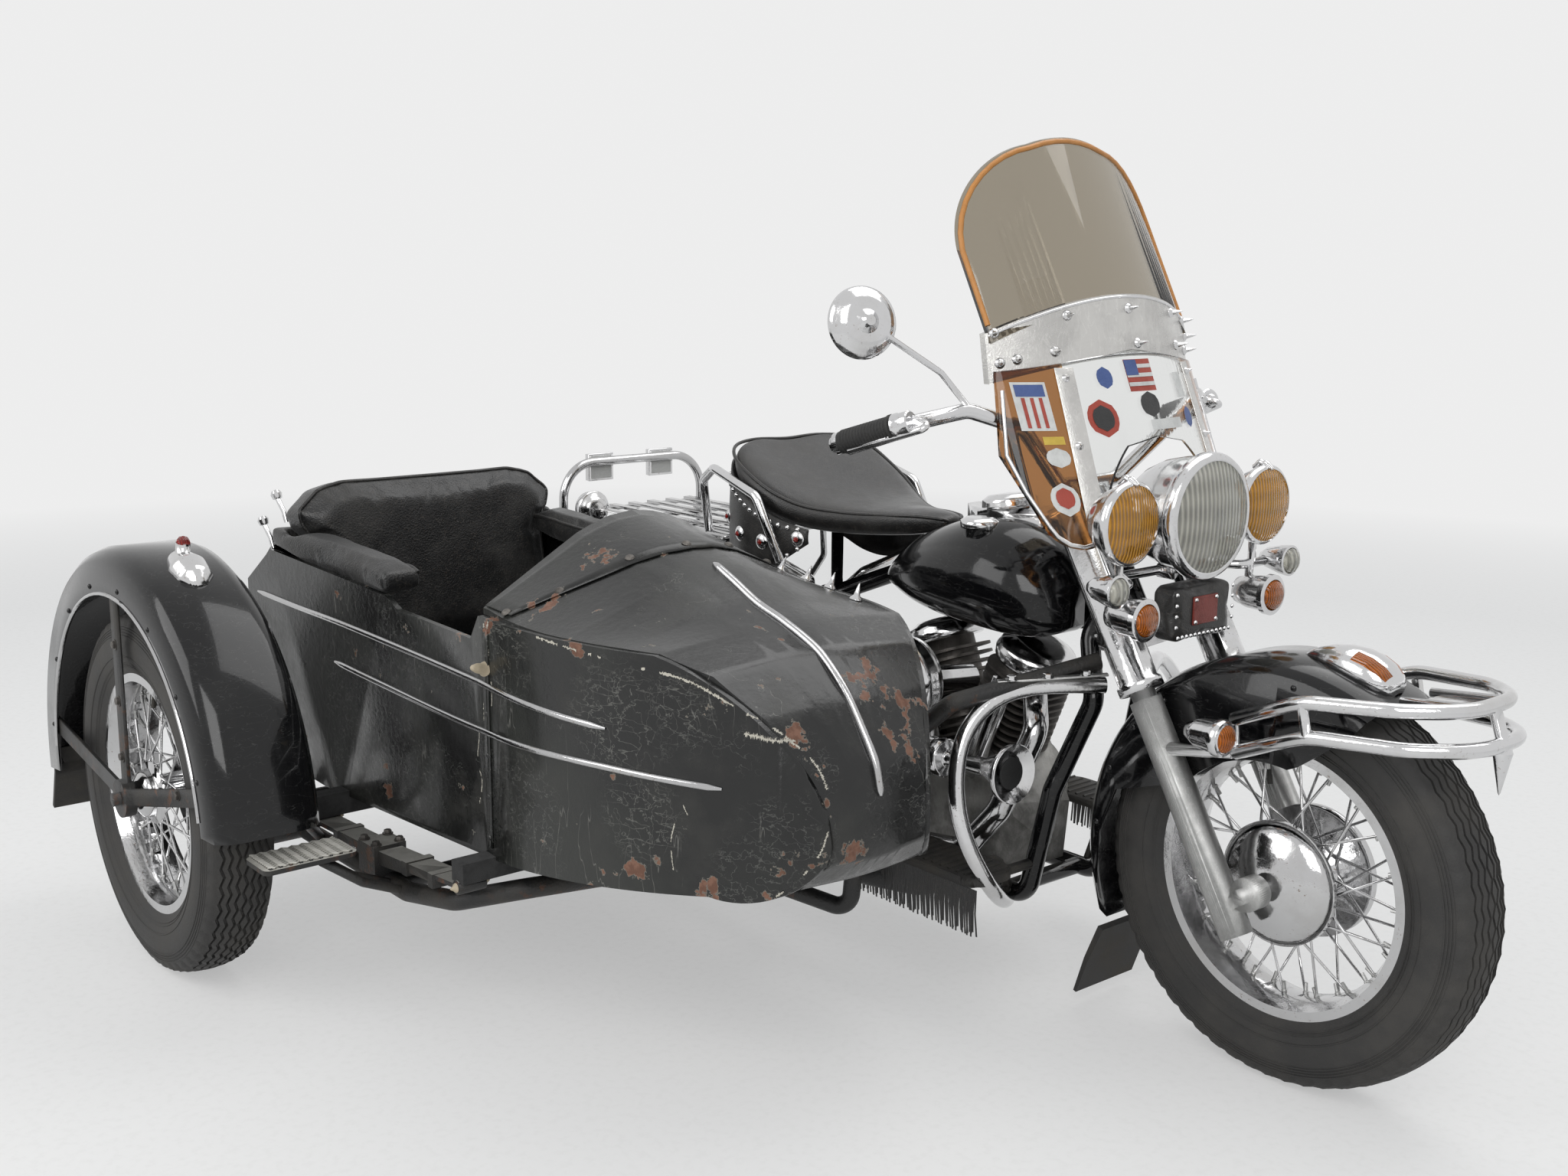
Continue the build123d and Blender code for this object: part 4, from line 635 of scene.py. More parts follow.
def chrome(name="chrome", pits=0.5, tone=0.66):
    """Bright plating with smudges and fine brown pitting."""
    f = Finish(name, (tone, tone, tone * 1.01), 0.07, 1.0)
    smudge = f.patches(14.0, 0.42, 0.7)
    f.roughen(smudge, 0.2).tint(smudge, (tone * 0.72, tone * 0.7, tone * 0.66), 0.3)
    f.tint(f.times(f.patches(210.0, 0.62, 0.68), f.patches(9.0, 0.45, 0.6)), (0.16, 0.09, 0.05), pits)
    return f.raise_by(f.patches(60.0, 0.3, 0.7), 0.00015)


def cast_metal(name, colour, rough, grime, metallic=0.9):
    """Cast or satin metal, dull and grimy in clouds, with fine bright lines."""
    f = Finish(name, colour, rough, metallic)
    clouds = f.patches(12.0, 0.4, 0.66)
    f.roughen(clouds, min(rough + 0.2, 0.9)).tint(clouds, shaded(colour, 0.35), grime)
    f.tint(f.hairlines(70.0, 0.02, (1, 1, 0.3)), tuple(min(c * 1.5, 1) for c in colour), 0.2)
    return f.raise_by(f.patches(420.0, 0.25, 0.75), 0.0003, 0.7)


def black_steel():
    """Brushed-on chassis black, scuffed and rusting through."""
    f = Finish("black_steel", (0.014, 0.014, 0.014), 0.42)
    clouds = f.patches(9.0, 0.4, 0.7)
    f.tint(clouds, (0.05, 0.045, 0.038), 0.7).roughen(clouds, 0.62)
    rust = f.times(f.patches(34.0, 0.54, 0.62), f.patches(6.0, 0.44, 0.6))
    f.tint(rust, (0.115, 0.042, 0.014), 0.6)
    return f.raise_by(f.math("SUBTRACT", f.patches(240.0, 0.3, 0.7), rust), 0.0004)


def leather(name="black_leather", grain=520.0, colour=(0.0095, 0.009, 0.0088), gloss=0.29, depth=0.0005):
    """Old black hide: pebbled, creased and dull in clouds."""
    f = Finish(name, colour, gloss, Sheen_Weight=0.1, Sheen_Roughness=0.4)
    clouds = f.patches(10.0, 0.4, 0.7)
    f.roughen(clouds, gloss + 0.2).tint(clouds, (0.034, 0.032, 0.029), 0.55)
    f.tint(f.hairlines(46.0, 0.012), (0.1, 0.085, 0.07), 0.35)
    return f.raise_by(f.group("hide_grain", Scale=grain, Crease=30.0), depth, 0.8)


def rubber(name="rubber", colour=(0.018, 0.017, 0.016), dust=(0.085, 0.076, 0.062), amount=0.6):
    """Aged rubber with dust rubbed into it."""
    f = Finish(name, colour, 0.62)
    clouds = f.patches(11.0, 0.36, 0.72)
    f.tint(clouds, dust, amount).roughen(clouds, 0.85)
    f.tint(f.patches(2.6, 0.5, 0.7), (0.12, 0.11, 0.095), 0.14)
    return f.raise_by(f.patches(300.0, 0.25, 0.75), 0.0004, 0.8)


PANE_ROUGH = 0.03


def pane(name, colour):
    """Clear or tinted sheet with a few hazy smears."""
    f = Finish(name, colour, PANE_ROUGH, Transmission_Weight=1.0, IOR=1.46)
    haze = f.patches(6.0, 0.5, 0.8)
    return f.roughen(haze, PANE_ROUGH + 0.12).tint(haze, shaded(colour, 0.8), 0.25)


def lens(name, colour, scale=32.0, clear=0.4):
    """Moulded lamp glass with upright flutes, which scatters some of the light that enters it, with painted
    shade in lines along the flutes.
    """
    f = Finish(name, colour, 0.05, Transmission_Weight=clear, IOR=1.48)
    flutes = f.group("flutes", Scale=scale)
    # Painted shade: the glass's colour darkens along the flutes, in place of the dark lines that the fluted
    # glass makes as it bends light.
    f.tint(flutes, shaded(colour, 0.34), 0.7)
    f.tint(f.patches(9.0, 0.4, 0.7), shaded(colour, 0.6), 0.25)
    return f.raise_by(flutes, 0.003)


def plain(name, colour, rough, speckle=0.35):
    """Paint, plastic or fibre with a light mottle."""
    f = Finish(name, colour, rough)
    clouds = f.patches(40.0, 0.4, 0.7)
    f.tint(clouds, shaded(colour, 0.55), speckle).roughen(clouds, min(1, rough + 0.2))
    return f.raise_by(f.patches(400.0, 0.3, 0.7), 0.0002)


FINISHES = {}


def make_finishes(values):
    """Every material, by a short name."""
    made = {
        "enamel": black_enamel(),
        "worn": worn_paint(),
        "chrome": chrome(),
        "dull_chrome": chrome("aged_chrome", 0.8, 0.5),
        "rim": chrome("rim_plating", 0.9, 0.56),
        "satin": cast_metal("satin_aluminium", (0.52, 0.52, 0.51), 0.3, 0.35),
        "band": cast_metal("band_metal", (0.62, 0.61, 0.59), 0.09, 0.25),
        "cast": cast_metal("cast_aluminium", (0.34, 0.335, 0.32), 0.46, 0.7),
        "iron": cast_metal("oily_iron", (0.14, 0.13, 0.12), 0.5, 0.8),
        "steel": black_steel(),
        "leather": leather(),
        "grained": leather("grained_leather", 340.0, (0.011, 0.011, 0.011), 0.34, 0.0009),
        "rubber": rubber(),
        "tyre": rubber("tyre_rubber", (0.026, 0.025, 0.024), (0.075, 0.07, 0.063), 0.55),
        "grip": rubber("grip_rubber", (0.01, 0.01, 0.01), (0.04, 0.04, 0.04), 0.4),
        "smoked": pane("smoked_pane", tuple(values.smoke)),
        "brown": pane("brown_pane", (0.36, 0.16, 0.05)),
        "clear": pane("clear_pane", (0.86, 0.87, 0.86)),
        "clear_lens": lens("clear_lens", (0.92, 0.9, 0.79), clear=0.55),
        "amber_lens": lens("amber_lens", tuple(values.amber), 48.0),
        "amber_small": lens("amber_small_lens", (0.98, 0.26, 0.02), 90.0),
        "red_lens": lens("red_lens", (0.6, 0.02, 0.01), 90.0),
        "trim": plain("amber_trim", (0.52, 0.22, 0.05), 0.3),
        "red": plain("red_covering", (0.2, 0.022, 0.012), 0.3, speckle=0.8),
        "white": plain("worn_white", (0.55, 0.53, 0.48), 0.5),
        "leaf": cast_metal("worn_leaf_steel", (0.36, 0.35, 0.32), 0.45, 0.5, 0.4),
        "strip": chrome("worn_strip", 1.0, 0.5),
        "flaked": plain("bare_undercoat", (0.5, 0.47, 0.4), 0.6),
        "ivory": plain("ivory_cap", (0.5, 0.42, 0.3), 0.4),
        "dial": plain("dial_face", (0.02, 0.02, 0.02), 0.4),
        "lining": plain("black_lining", (0.02, 0.02, 0.02), 0.7),
        "mirror": chrome("mirror_glass", 0.0, 0.8),
        "reflector": plain("pale_reflector", (0.5, 0.5, 0.48), 0.25, speckle=0.2),
        "decal_red": plain("faded_red_decal", (0.35, 0.05, 0.03), 0.4),
        "decal_blue": plain("faded_blue_decal", (0.05, 0.09, 0.25), 0.4),
        "decal_yellow": plain("faded_yellow_decal", (0.6, 0.42, 0.06), 0.4),
        "decal_white": plain("white_decal", (0.62, 0.62, 0.6), 0.4),
    }
    for key, finish in made.items():
        FINISHES[key] = finish.material


# What a user may change


class SidecarPaint(PropertyGroup):
    """Colours"""

    amber: FloatVectorProperty(name="Amber", description="Colour of the spot lamps' glass", subtype="COLOR",
                               default=(1.0, 0.46, 0.02), min=0, max=1)
    smoke: FloatVectorProperty(name="Smoke", description="Colour of the upper pane", subtype="COLOR",
                               default=(0.33, 0.29, 0.225), min=0, max=1)
    floor: FloatVectorProperty(name="Floor", description="Colour of the floor", subtype="COLOR",
                               default=(0.82, 0.81, 0.79), min=0, max=1)


class SidecarSizes(PropertyGroup):
    """Sizes, counts and the power of the lamps"""

    groove: FloatProperty(name="Groove depth", description="Depth of the tread's grooves, in millimetres",
                          default=5.0, min=1, max=9)
    waves: IntProperty(name="Tread waves", description="Waves of each groove round a tyre",
                       default=58, min=20, max=90)
    rivet: FloatProperty(name="Rivet radius", description="Radius of the fenders' rivets, in millimetres",
                         default=5.0, min=2, max=12)
    lamp_power: FloatProperty(name="Lamp power", description="Power of the largest studio lamp",
                              subtype="POWER", default=120.0, min=1, max=2000)


# Stage

CAMERA_PLACE = Vector((2.257, -1.776, 1.269))
CAMERA_AZIMUTH, CAMERA_PITCH, CAMERA_ROLL = radians(50.27), radians(11.09), radians(0.42)
CAMERA_LENS, CAMERA_SENSOR = 39.17, 36
BACKDROP, BACKDROP_COLOUR = 0.85, (1, 1, 1, 1)
DAYLIGHT, DAYLIGHT_COLOUR = 0.5, (0.9, 0.95, 1, 1)
# Half the floor's side and its drop below the tyres, in metres
FLOOR_HALF, FLOOR_DROP = 40, 0.0005
# The floor fades into the backdrop: the least share, how many metres from the floor's middle more starts, and
# the share gained each metre
FADE_LEAST, FADE_START, FADE_RATE = 0.5, 1.6, 0.2
# Studio lamps: name, place and side in metres, and share of the largest lamp's power
LAMPS = (("lamp_front", (3.5, -3.5, 3.8), 3.2, 1.0), ("lamp_side", (-1.5, -4.2, 3.2), 3.0, 0.6),
         ("lamp_top", (0.3, 1.8, 4.4), 3.4, 0.6))
LAMP_AIM = Vector((0, 0, 0.5))


def make_camera(scene):
    """Camera at its place, looking along its azimuth and pitch, with a little roll."""
    camera = linked("camera", bpy.data.cameras.new("camera"))
    camera.data.lens, camera.data.sensor_width = CAMERA_LENS, CAMERA_SENSOR
    a, e, r = CAMERA_AZIMUTH, CAMERA_PITCH, CAMERA_ROLL
    back = Vector((sin(a) * cos(e), -cos(a) * cos(e), sin(e)))
    right = Vector((cos(a), sin(a), 0))
    up = back.cross(right)
    right, up = right * cos(r) + up * sin(r), up * cos(r) - right * sin(r)
    camera.matrix_world = Matrix.Translation(CAMERA_PLACE) @ Matrix((right, up, back)).transposed().to_4x4()
    scene.camera = camera


def shown_rays(tree):
    """One for the rays that look at the stage: from the camera, off glossy faces or through glass."""
    paths = tree.nodes.new("ShaderNodeLightPath").outputs
    seen = math_node(tree, "MAXIMUM", paths["Is Camera Ray"], paths["Is Glossy Ray"])
    return math_node(tree, "MAXIMUM", seen, paths["Is Transmission Ray"])


def make_floor(colour):
    """Speckled floor that fades into the backdrop."""
    finish = Finish("pale_floor", colour, 0.75)
    finish.tint(finish.patches(60.0, 0.45, 0.7), (0.6, 0.59, 0.56), 0.25)
    nodes, links = finish.tree.nodes, finish.tree.links
    glow, share, away = (nodes.new("ShaderNode" + kind) for kind in ("Emission", "MixShader", "VectorMath"))
    glow.inputs["Color"].default_value, glow.inputs["Strength"].default_value = BACKDROP_COLOUR, BACKDROP
    away.operation = "LENGTH"
    links.new(finish.place, away.inputs[0])
    beyond = finish.math("SUBTRACT", away.outputs["Value"], FADE_START)
    faded = finish.math("MULTIPLY", beyond, FADE_RATE, clamp=True)
    part = finish.times(shown_rays(finish.tree), finish.math("MAXIMUM", faded, FADE_LEAST))
    links.new(part, share.inputs["Fac"])
    links.new(finish.shader.outputs[0], share.inputs[1])
    links.new(glow.outputs[0], share.inputs[2])
    links.new(share.outputs[0], nodes["Material Output"].inputs["Surface"])
    bm = bmesh.new()
    bmesh.ops.create_grid(bm, x_segments=1, y_segments=1, size=FLOOR_HALF)
    floor = linked("floor", mesh_of(bm, "floor"))
    floor.data.materials.append(finish.material)
    floor.location.z = -FLOOR_DROP


def make_world(scene):
    """Even daylight, shown to the camera and to glossy and clear faces as the plain backdrop."""
    world = bpy.data.worlds.new("studio")
    world.use_nodes = True
    scene.world = world
    nodes, links = world.node_tree.nodes, world.node_tree.links
    light, shown = nodes["Background"], nodes.new("ShaderNodeBackground")
    choice = nodes.new("ShaderNodeMixShader")
    light.inputs["Color"].default_value, light.inputs["Strength"].default_value = DAYLIGHT_COLOUR, DAYLIGHT
    shown.inputs["Color"].default_value, shown.inputs["Strength"].default_value = BACKDROP_COLOUR, BACKDROP
    links.new(shown_rays(world.node_tree), choice.inputs["Fac"])
    links.new(light.outputs[0], choice.inputs[1])
    links.new(shown.outputs[0], choice.inputs[2])
    links.new(choice.outputs[0], nodes["World Output"].inputs["Surface"])


def area_lamp(name, place, size, power):
    """Soft square lamp aimed at the machine's middle."""
    light = bpy.data.lights.new(name, "AREA")
    light.size, light.energy = size, power
    lamp = linked(name, light)
    lamp.location = place
    lamp.rotation_euler = (LAMP_AIM - Vector(place)).to_track_quat("-Z", "Y").to_euler()


class SIDECAR_OT_stage(Operator):
    """Camera, floor, backdrop and soft lamps"""

    bl_idname = "sidecar.stage"
    bl_label = "Stage"

    def execute(self, context):
        scene = context.scene
        scene.view_settings.view_transform = "Standard"
        make_camera(scene)
        make_floor(tuple(scene.sidecar_paint.floor))
        make_world(scene)
        for name, place, size, share in LAMPS:
            area_lamp(name, place, size, scene.sidecar_sizes.lamp_power * share)
        return {"FINISHED"}


class SIDECAR_OT_finishes(Operator):
    """Every material, made once"""

    bl_idname = "sidecar.finishes"
    bl_label = "Finishes"

    def execute(self, context):
        make_finishes(context.scene.sidecar_paint)
        return {"FINISHED"}


# Solids that keep their shape, each with its finish and how sharp its edges stay

SOLID_FINISHES = {
    "bike_frame": ("enamel", 30), "engine_case": ("cast", 30), "primary_cover": ("cast", 30),
    "cylinders": ("iron", 25), "rocker_gear": ("chrome", 30), "air_cleaner": ("chrome", 30),
    "exhaust": ("dull_chrome", 35), "horn": ("chrome", 40), "fuel_tanks": ("enamel", 50),
    "tank_fittings": ("chrome", 35), "grab_rails": ("chrome", 35), "rear_fender": ("enamel", 40),
    "luggage_rack": ("dull_chrome", 35), "floorboards": ("rubber", 30), "crash_bars": ("chrome", 35),
    "final_chain": ("iron", 30), "sidecar_frame": ("steel", 35), "leaf_springs": ("steel", 30),
    "step_plate": ("steel", 25), "wheel_bracket": ("steel", 30), "sidecar_fender": ("enamel", 40),
    "sidecar_mudflap": ("rubber", 30), "body_side_right": ("worn", 40), "body_side_left": ("worn", 40),
    "body_cowl": ("worn", 25), "body_tail": ("worn", 30), "body_floor": ("lining", 30),
    "fork_legs": ("satin", 35), "fork_covers": ("chrome", 35), "handlebar": ("chrome", 35),
    "windshield_pane": ("smoked", 30), "windshield_band": ("band", 30), "front_fender": ("enamel", 40),
    "front_mudflap": ("rubber", 30), "bumper": ("chrome", 35), "front_wheel": ("rim", 30),
    "rear_wheel": ("rim", 30), "sidecar_wheel": ("rim", 30), "sidecar_fender_lamp": ("chrome", 40),
    "rear_lamps": ("chrome", 35),
}
# Faces with a finish of their own: the solid, the finish, the height they start at in metres, and how far
# they face up
RECOLOURED = (("leaf_springs", "leaf", 0.0, 0.8), ("step_plate", "white", 0.294, 0.8),
              ("sidecar_fender_lamp", "red_lens", 0.784, -1.0))


class SIDECAR_OT_solids(Operator):
    """The rigid solids, merged and smoothly shaded, each in its own finish"""

    bl_idname = "sidecar.solids"
    bl_label = "Rigid solids"

    def execute(self, context):
        skins = {node: smoothed(node, FINISHES[finish], sharp)
                 for node, (finish, sharp) in SOLID_FINISHES.items()}
        for node, finish, low, facing in RECOLOURED:
            mesh = skins[node].data
            mesh.materials.append(FINISHES[finish])
            for face in mesh.polygons:
                face.material_index = int(face.normal.z > facing and face.center.z > low)
        return {"FINISHED"}


# Tyres and what shows on the wheels

# Half width and radius of the tyre's wall from the bead to the shoulder, and the radii and section of the
# rings moulded on it
TYRE_WALL = [(42, 205), (47, 215), (53, 226), (57.5, 236), (60.3, 243), (62.6, 252), (63.4, 264), (63, 274),
             (61.4, 282), (58.9, 291), (56.8, 300), (55, 306)]
TYRE_RINGS = (228.5, 233.5, 247.5, 284.2, 288.8, 293.5, 298)
RING_SECTION = ((-1.4, 0), (-0.7, 1.3), (0.7, 1.3), (1.4, 0))
GROOVES = (-38, -25.5, -12.5, 0, 12.5, 25.5, 38)
GROOVE_HALF, GROOVE_SWAY, GROOVE_EDGE = 2.0, 3.2, 0.7
# Steps of the section in one wave of the grooves, and the depth of the shoulder's notch in each wave
WAVE_STEPS, NOTCH = 4, 3.5
TYRE_R, CROWN_FALL = 325, 0.0045


def crown_radius(y):
    """Radius of the tread at a distance from its middle."""
    return TYRE_R - CROWN_FALL * y * y


def ringed_wall():
    """The tyre wall's section with each moulded ring standing on it."""
    wall = []
    for (w0, r0), (w1, r1) in zip(TYRE_WALL, TYRE_WALL[1:]):
        wall.append((w0, r0))
        for ring in TYRE_RINGS:
            if r0 < ring < r1:
                wall += [(w0 + (w1 - w0) * (ring + reach - r0) / (r1 - r0) + rise, ring + reach)
                         for reach, rise in RING_SECTION]
    return wall + [TYRE_WALL[-1]]


class SIDECAR_OT_tyres(Operator):
    """Tyres with wavy grooves round the tread, shoulder notches and rings on the walls"""

    bl_idname = "sidecar.tyres"
    bl_label = "Tyres"

    def execute(self, context):
        sizes = context.scene.sidecar_sizes
        wall = ringed_wall()
        for name, (x, y) in WHEELS.items():
            rows = []
            for i, t in enumerate(full_turn(sizes.waves * WAVE_STEPS)):
                phase = i % WAVE_STEPS
                sway = GROOVE_SWAY * (abs(phase - 2) - 1)
                notch = NOTCH if phase == 1 else 0
                section = [(-w, r) for w, r in wall]
                section[-1] = (-55 + notch * 0.4, 306 - notch)
                section += [(-51, crown_radius(51) - notch), (-46, crown_radius(46) - notch * 0.6)]
                for groove in GROOVES:
                    y0 = groove + sway * (1 if groove % 25 else -1)
                    top, low = crown_radius(groove), crown_radius(groove) - sizes.groove
                    section += [(y0 - GROOVE_HALF - GROOVE_EDGE, top), (y0 - GROOVE_HALF, low),
                                (y0 + GROOVE_HALF, low), (y0 + GROOVE_HALF + GROOVE_EDGE, top)]
                section += [(-w, r) for w, r in reversed(section[:len(wall) + 2])]
                rows.append([(x + r * cos(t), y + w, AXLE_Z + r * sin(t)) for w, r in section])
            bm = bmesh.new()
            grid(bm, rows + [rows[0]], closed=True)
            bmesh.ops.remove_doubles(bm, verts=bm.verts, dist=0.01)
            add_piece(f"{name}_tread", bm, FINISHES["tyre"], f"{name}_wheel", (f"{name}_tyre",), sharp=48)
        return {"FINISHED"}


SPOKES, RIM_WELL_R = 40, 188
# Where each wheel's valve stands, as an angle about its axle
VALVE_TURN = 1.9
HUB_RINGS = (92, 70, 48)


def nipple():
    """Spoke's nipple, standing in the rim."""
    bm = bmesh.new()
    lathe(bm, [(-4, 4.4), (2, 4.4), (3, 3.4), (16, 3.0), (17, 0)], (0, 0, 0), (0, 0, 1), 8)
    return bm


class SIDECAR_OT_wheels(Operator):
    """Nipples and valves of the spoked wheels, and rings on the front hub"""

    bl_idname = "sidecar.wheels"
    bl_label = "Wheel fittings"

    def execute(self, context):
        for name, (x, y) in WHEELS.items():
            body = f"{name}_wheel"
            spots = []
            for i, t in enumerate(full_turn(SPOKES)):
                side = 1 if i % 2 else -1
                out = Vector((cos(t), 0, sin(t)))
                spots.append((Vector((x, y + side * 7, AXLE_Z)) + out * (RIM_WELL_R - 1),
                              -out + Vector((0, side * 0.18, 0)), (0, 1, 0)))
            set_out(f"{name}_nipples", nipple(), spots, FINISHES["satin"], body)
            bm = bmesh.new()
            radius = RIM_WELL_R - 2
            foot = Vector((x + radius * cos(VALVE_TURN), y, AXLE_Z + radius * sin(VALVE_TURN)))
            inward = Vector((-cos(VALVE_TURN), -0.25, -sin(VALVE_TURN)))
            tube(bm, [foot, foot + inward * 26], 3.6, 10)
            tube(bm, [foot + inward * 24, foot + inward * 38], 4.4, 10)
            add_piece(f"{name}_valve", bm, FINISHES["rubber"], body)
        x = WHEELS["front"][0]
        bm = bmesh.new()
        for radius in HUB_RINGS:
            lathe(bm, [(-0.6, radius - 2), (1.4, radius - 1), (1.4, radius + 1), (-0.6, radius + 2)],
                  (x, -50 - (98 - radius) * 0.46, AXLE_Z), (0, -1, 0), 72)
        add_piece("front_hub_rings", bm, FINISHES["chrome"], "front_wheel")
        return {"FINISHED"}


# Lamps

HEADLIGHT = Vector((1321, 0, 866))
SPOT, SIGNAL, BULLET = Vector((1302, 172, 868)), Vector((1325, 164, 722)), Vector((1318, 222, 772))
# Profiles: distance ahead of the lamp's station, and radius
HEAD_SHELL = [(-150, 0), (-149, 18), (-144, 38), (-132, 56), (-112, 72), (-84, 85), (-52, 92), (-24, 94),
              (-23, 99), (-18, 102), (-6, 102), (-1, 99), (2, 93), (1, 89), (-6, 88)]
HEAD_BOWL = [(-5, 89), (-20, 76), (-40, 52), (-54, 24), (-58, 0)]
HEAD_GLASS = [(0, 90), (5, 80), (10, 60), (14, 34), (16, 0)]
SPOT_SHELL = [(-74, 0), (-73, 14), (-66, 30), (-50, 46), (-30, 56), (-17, 60), (-16, 64), (-12, 66), (-3, 66),
              (0, 63), (1, 60), (-4, 58)]
SPOT_BOWL = [(-4, 58), (-18, 46), (-32, 22), (-36, 0)]
SPOT_GLASS = [(0, 60), (5, 50), (9, 32), (12, 0)]
SIGNAL_SHELL = [(-70, 0), (-69, 12), (-62, 22), (-40, 28), (-6, 30), (-5, 34), (4, 34), (6, 31), (6, 26),
                (0, 25)]
SIGNAL_GLASS = [(2, 26), (10, 23), (15, 14), (17, 0)]
BULLET_SHELL = [(-60, 0), (-54, 9), (-42, 17), (-16, 24), (-2, 26), (2, 26), (3, 22), (-2, 21)]
BULLET_GLASS = [(0, 22), (8, 19), (13, 11), (15, 0)]


def glass_dome(bm, profile, centre, axis, thick=2.5, steps=56):
    """Closed lens: a domed face with its back a little inside it."""
    inner = [(station - thick, max(radius - thick * 0.6, 0)) for station, radius in reversed(profile)]
    lathe(bm, profile[::-1] + inner[::-1] + [profile[0]], centre, axis, steps)


class SIDECAR_OT_front_lamps(Operator):
    """Headlight, amber spot lamps, turn signals and bullet lamps with bowls and moulded glass"""

    bl_idname = "sidecar.front_lamps"
    bl_label = "Front lamps"

    def execute(self, context):
        ahead = (1, 0, 0)
        shells, bowls, clear, amber, small = (bmesh.new() for _ in range(5))
        lathe(shells, HEAD_SHELL, HEADLIGHT, ahead, 72)
        lathe(bowls, HEAD_BOWL, HEADLIGHT, ahead, 64)
        lathe(bowls, [(-58, 10), (-30, 10), (-26, 6), (-26, 0)], HEADLIGHT, ahead, 20)
        glass_dome(clear, HEAD_GLASS, HEADLIGHT, ahead, 3, 72)
        for side in (-1, 1):
            spot = on_side(SPOT, side)
            lathe(shells, SPOT_SHELL, spot, ahead, 56)
            lathe(bowls, SPOT_BOWL, spot, ahead, 48)
            glass_dome(amber, SPOT_GLASS, spot, ahead)
            crest = [spot + Vector((-30 + i * 6, 0, 60 + h)) for i, h in enumerate((0, 4, 10, 7, 9, 5, 0))]
            tube(shells, smooth_line(crest, 3), lambda t: 5.5 - 3 * abs(t - 0.4), 10)
            signal = on_side(SIGNAL, side)
            lathe(shells, SIGNAL_SHELL, signal, ahead, 40)
            glass_dome(small, SIGNAL_GLASS, signal, ahead, 2, 36)
            bullet = on_side(BULLET, side)
            lathe(shells, BULLET_SHELL, bullet, ahead, 40)
            glass_dome(clear, BULLET_GLASS, bullet, ahead, 2, 36)
        add_piece("lamp_shells", shells, FINISHES["chrome"], STEERING,
                  ("headlight", "spot_lamps", "small_lamps"), 45)
        add_piece("lamp_bowls", bowls, FINISHES["mirror"], STEERING, sharp=60)
        add_piece("clear_glasses", clear, FINISHES["clear_lens"], STEERING, sharp=60)
        add_piece("amber_glasses", amber, FINISHES["amber_lens"], STEERING, sharp=60)
        add_piece("signal_glasses", small, FINISHES["amber_small"], STEERING, sharp=60)
        return {"FINISHED"}


# The hoop behind the rack, its reflectors beside the middle, its ball lamp and the rear fender's tail lamp
HOOP_X, REFLECTOR_Y, REFLECTOR_Z = -278, 83, 792
BALL_LAMP, TAIL_LAMP, TAIL_AIM = (HOOP_X + 14, -146, 709), (-262, 0, 566), (-1, 0, 0.1)
BALL_SHELL = [(0, 0), (2, 14), (10, 27), (22, 35), (34, 36), (36, 40), (42, 40), (44, 34), (52, 26), (59, 12),
              (60, 0)]
TAIL_SHELL = [(0, 0), (0, 40), (16, 44), (56, 44), (58, 40), (58, 30)]
TAIL_GLASS = [(56, 40), (70, 38), (84, 28), (90, 12), (91, 0)]


class SIDECAR_OT_rear_lamps(Operator):
    """Square reflectors and ball lamp on the hoop, tail lamp on the rear fender"""

    bl_idname = "sidecar.rear_lamps"
    bl_label = "Rear lamps"

    def execute(self, context):
        metal, pale, red = bmesh.new(), bmesh.new(), bmesh.new()
        for side in (-1, 1):
            for bm, back, size in ((metal, 13, (8, 66, 62)), (pale, 16.5, (5, 56, 52)),
                                   (pale, 9.5, (4, 56, 52))):
                block(bm, (HOOP_X - back, side * REFLECTOR_Y, REFLECTOR_Z), size)
        lathe(metal, BALL_SHELL, BALL_LAMP, (1, 0, 0), 40)
        lathe(metal, TAIL_SHELL, TAIL_LAMP, TAIL_AIM, 48)
        lathe(red, TAIL_GLASS, TAIL_LAMP, TAIL_AIM, 48)
        add_piece("rear_lamp_shells", metal, FINISHES["chrome"], CHASSIS, ("rear_lamps",), bevel=2)
        add_piece("reflector_plates", pale, FINISHES["reflector"], CHASSIS, bevel=1.5)
        add_piece("tail_glass", red, FINISHES["red_lens"], CHASSIS)
        return {"FINISHED"}


# Leather

# The saddle's sections: x, half width, and heights of the middle, the edge and the underside
SADDLE_SECTIONS = [
    (756, 16, 794, 791, 782), (744, 32, 803, 797, 772), (700, 48, 806, 799, 760),
    (640, 70, 803, 796, 752), (570, 112, 801, 797, 748), (500, 158, 806, 808, 750),
    (440, 184, 824, 832, 764), (380, 192, 848, 862, 792), (330, 186, 872, 888, 826),
    (294, 152, 892, 904, 860), (274, 84, 902, 907, 878),
]
# Points across a section: shares of the half width, of the way from middle to edge, and of the way down
SADDLE_ACROSS = [
    (0.0, 0.0, 0), (0.3, 0.12, 0), (0.6, 0.6, 0), (0.82, 1.0, 0), (0.95, 0.9, 0.12), (1.0, 0.8, 0.4),
    (0.97, 0.6, 0.75), (0.86, 0.4, 1.0), (0.45, 0, 1.0),
]


def saddle_ring(x, half, middle, edge, under):
    """Points round one section of the saddle."""
    ring = []
    for across, rise, drop in SADDLE_ACROSS:
        top = middle + (edge - middle) * rise
        ring.append((x, across * half, top + (under - top) * drop))
    return ring + [(x, -y, z) for x, y, z in reversed(ring[1:])]


CLOTH_FRAMES = 20


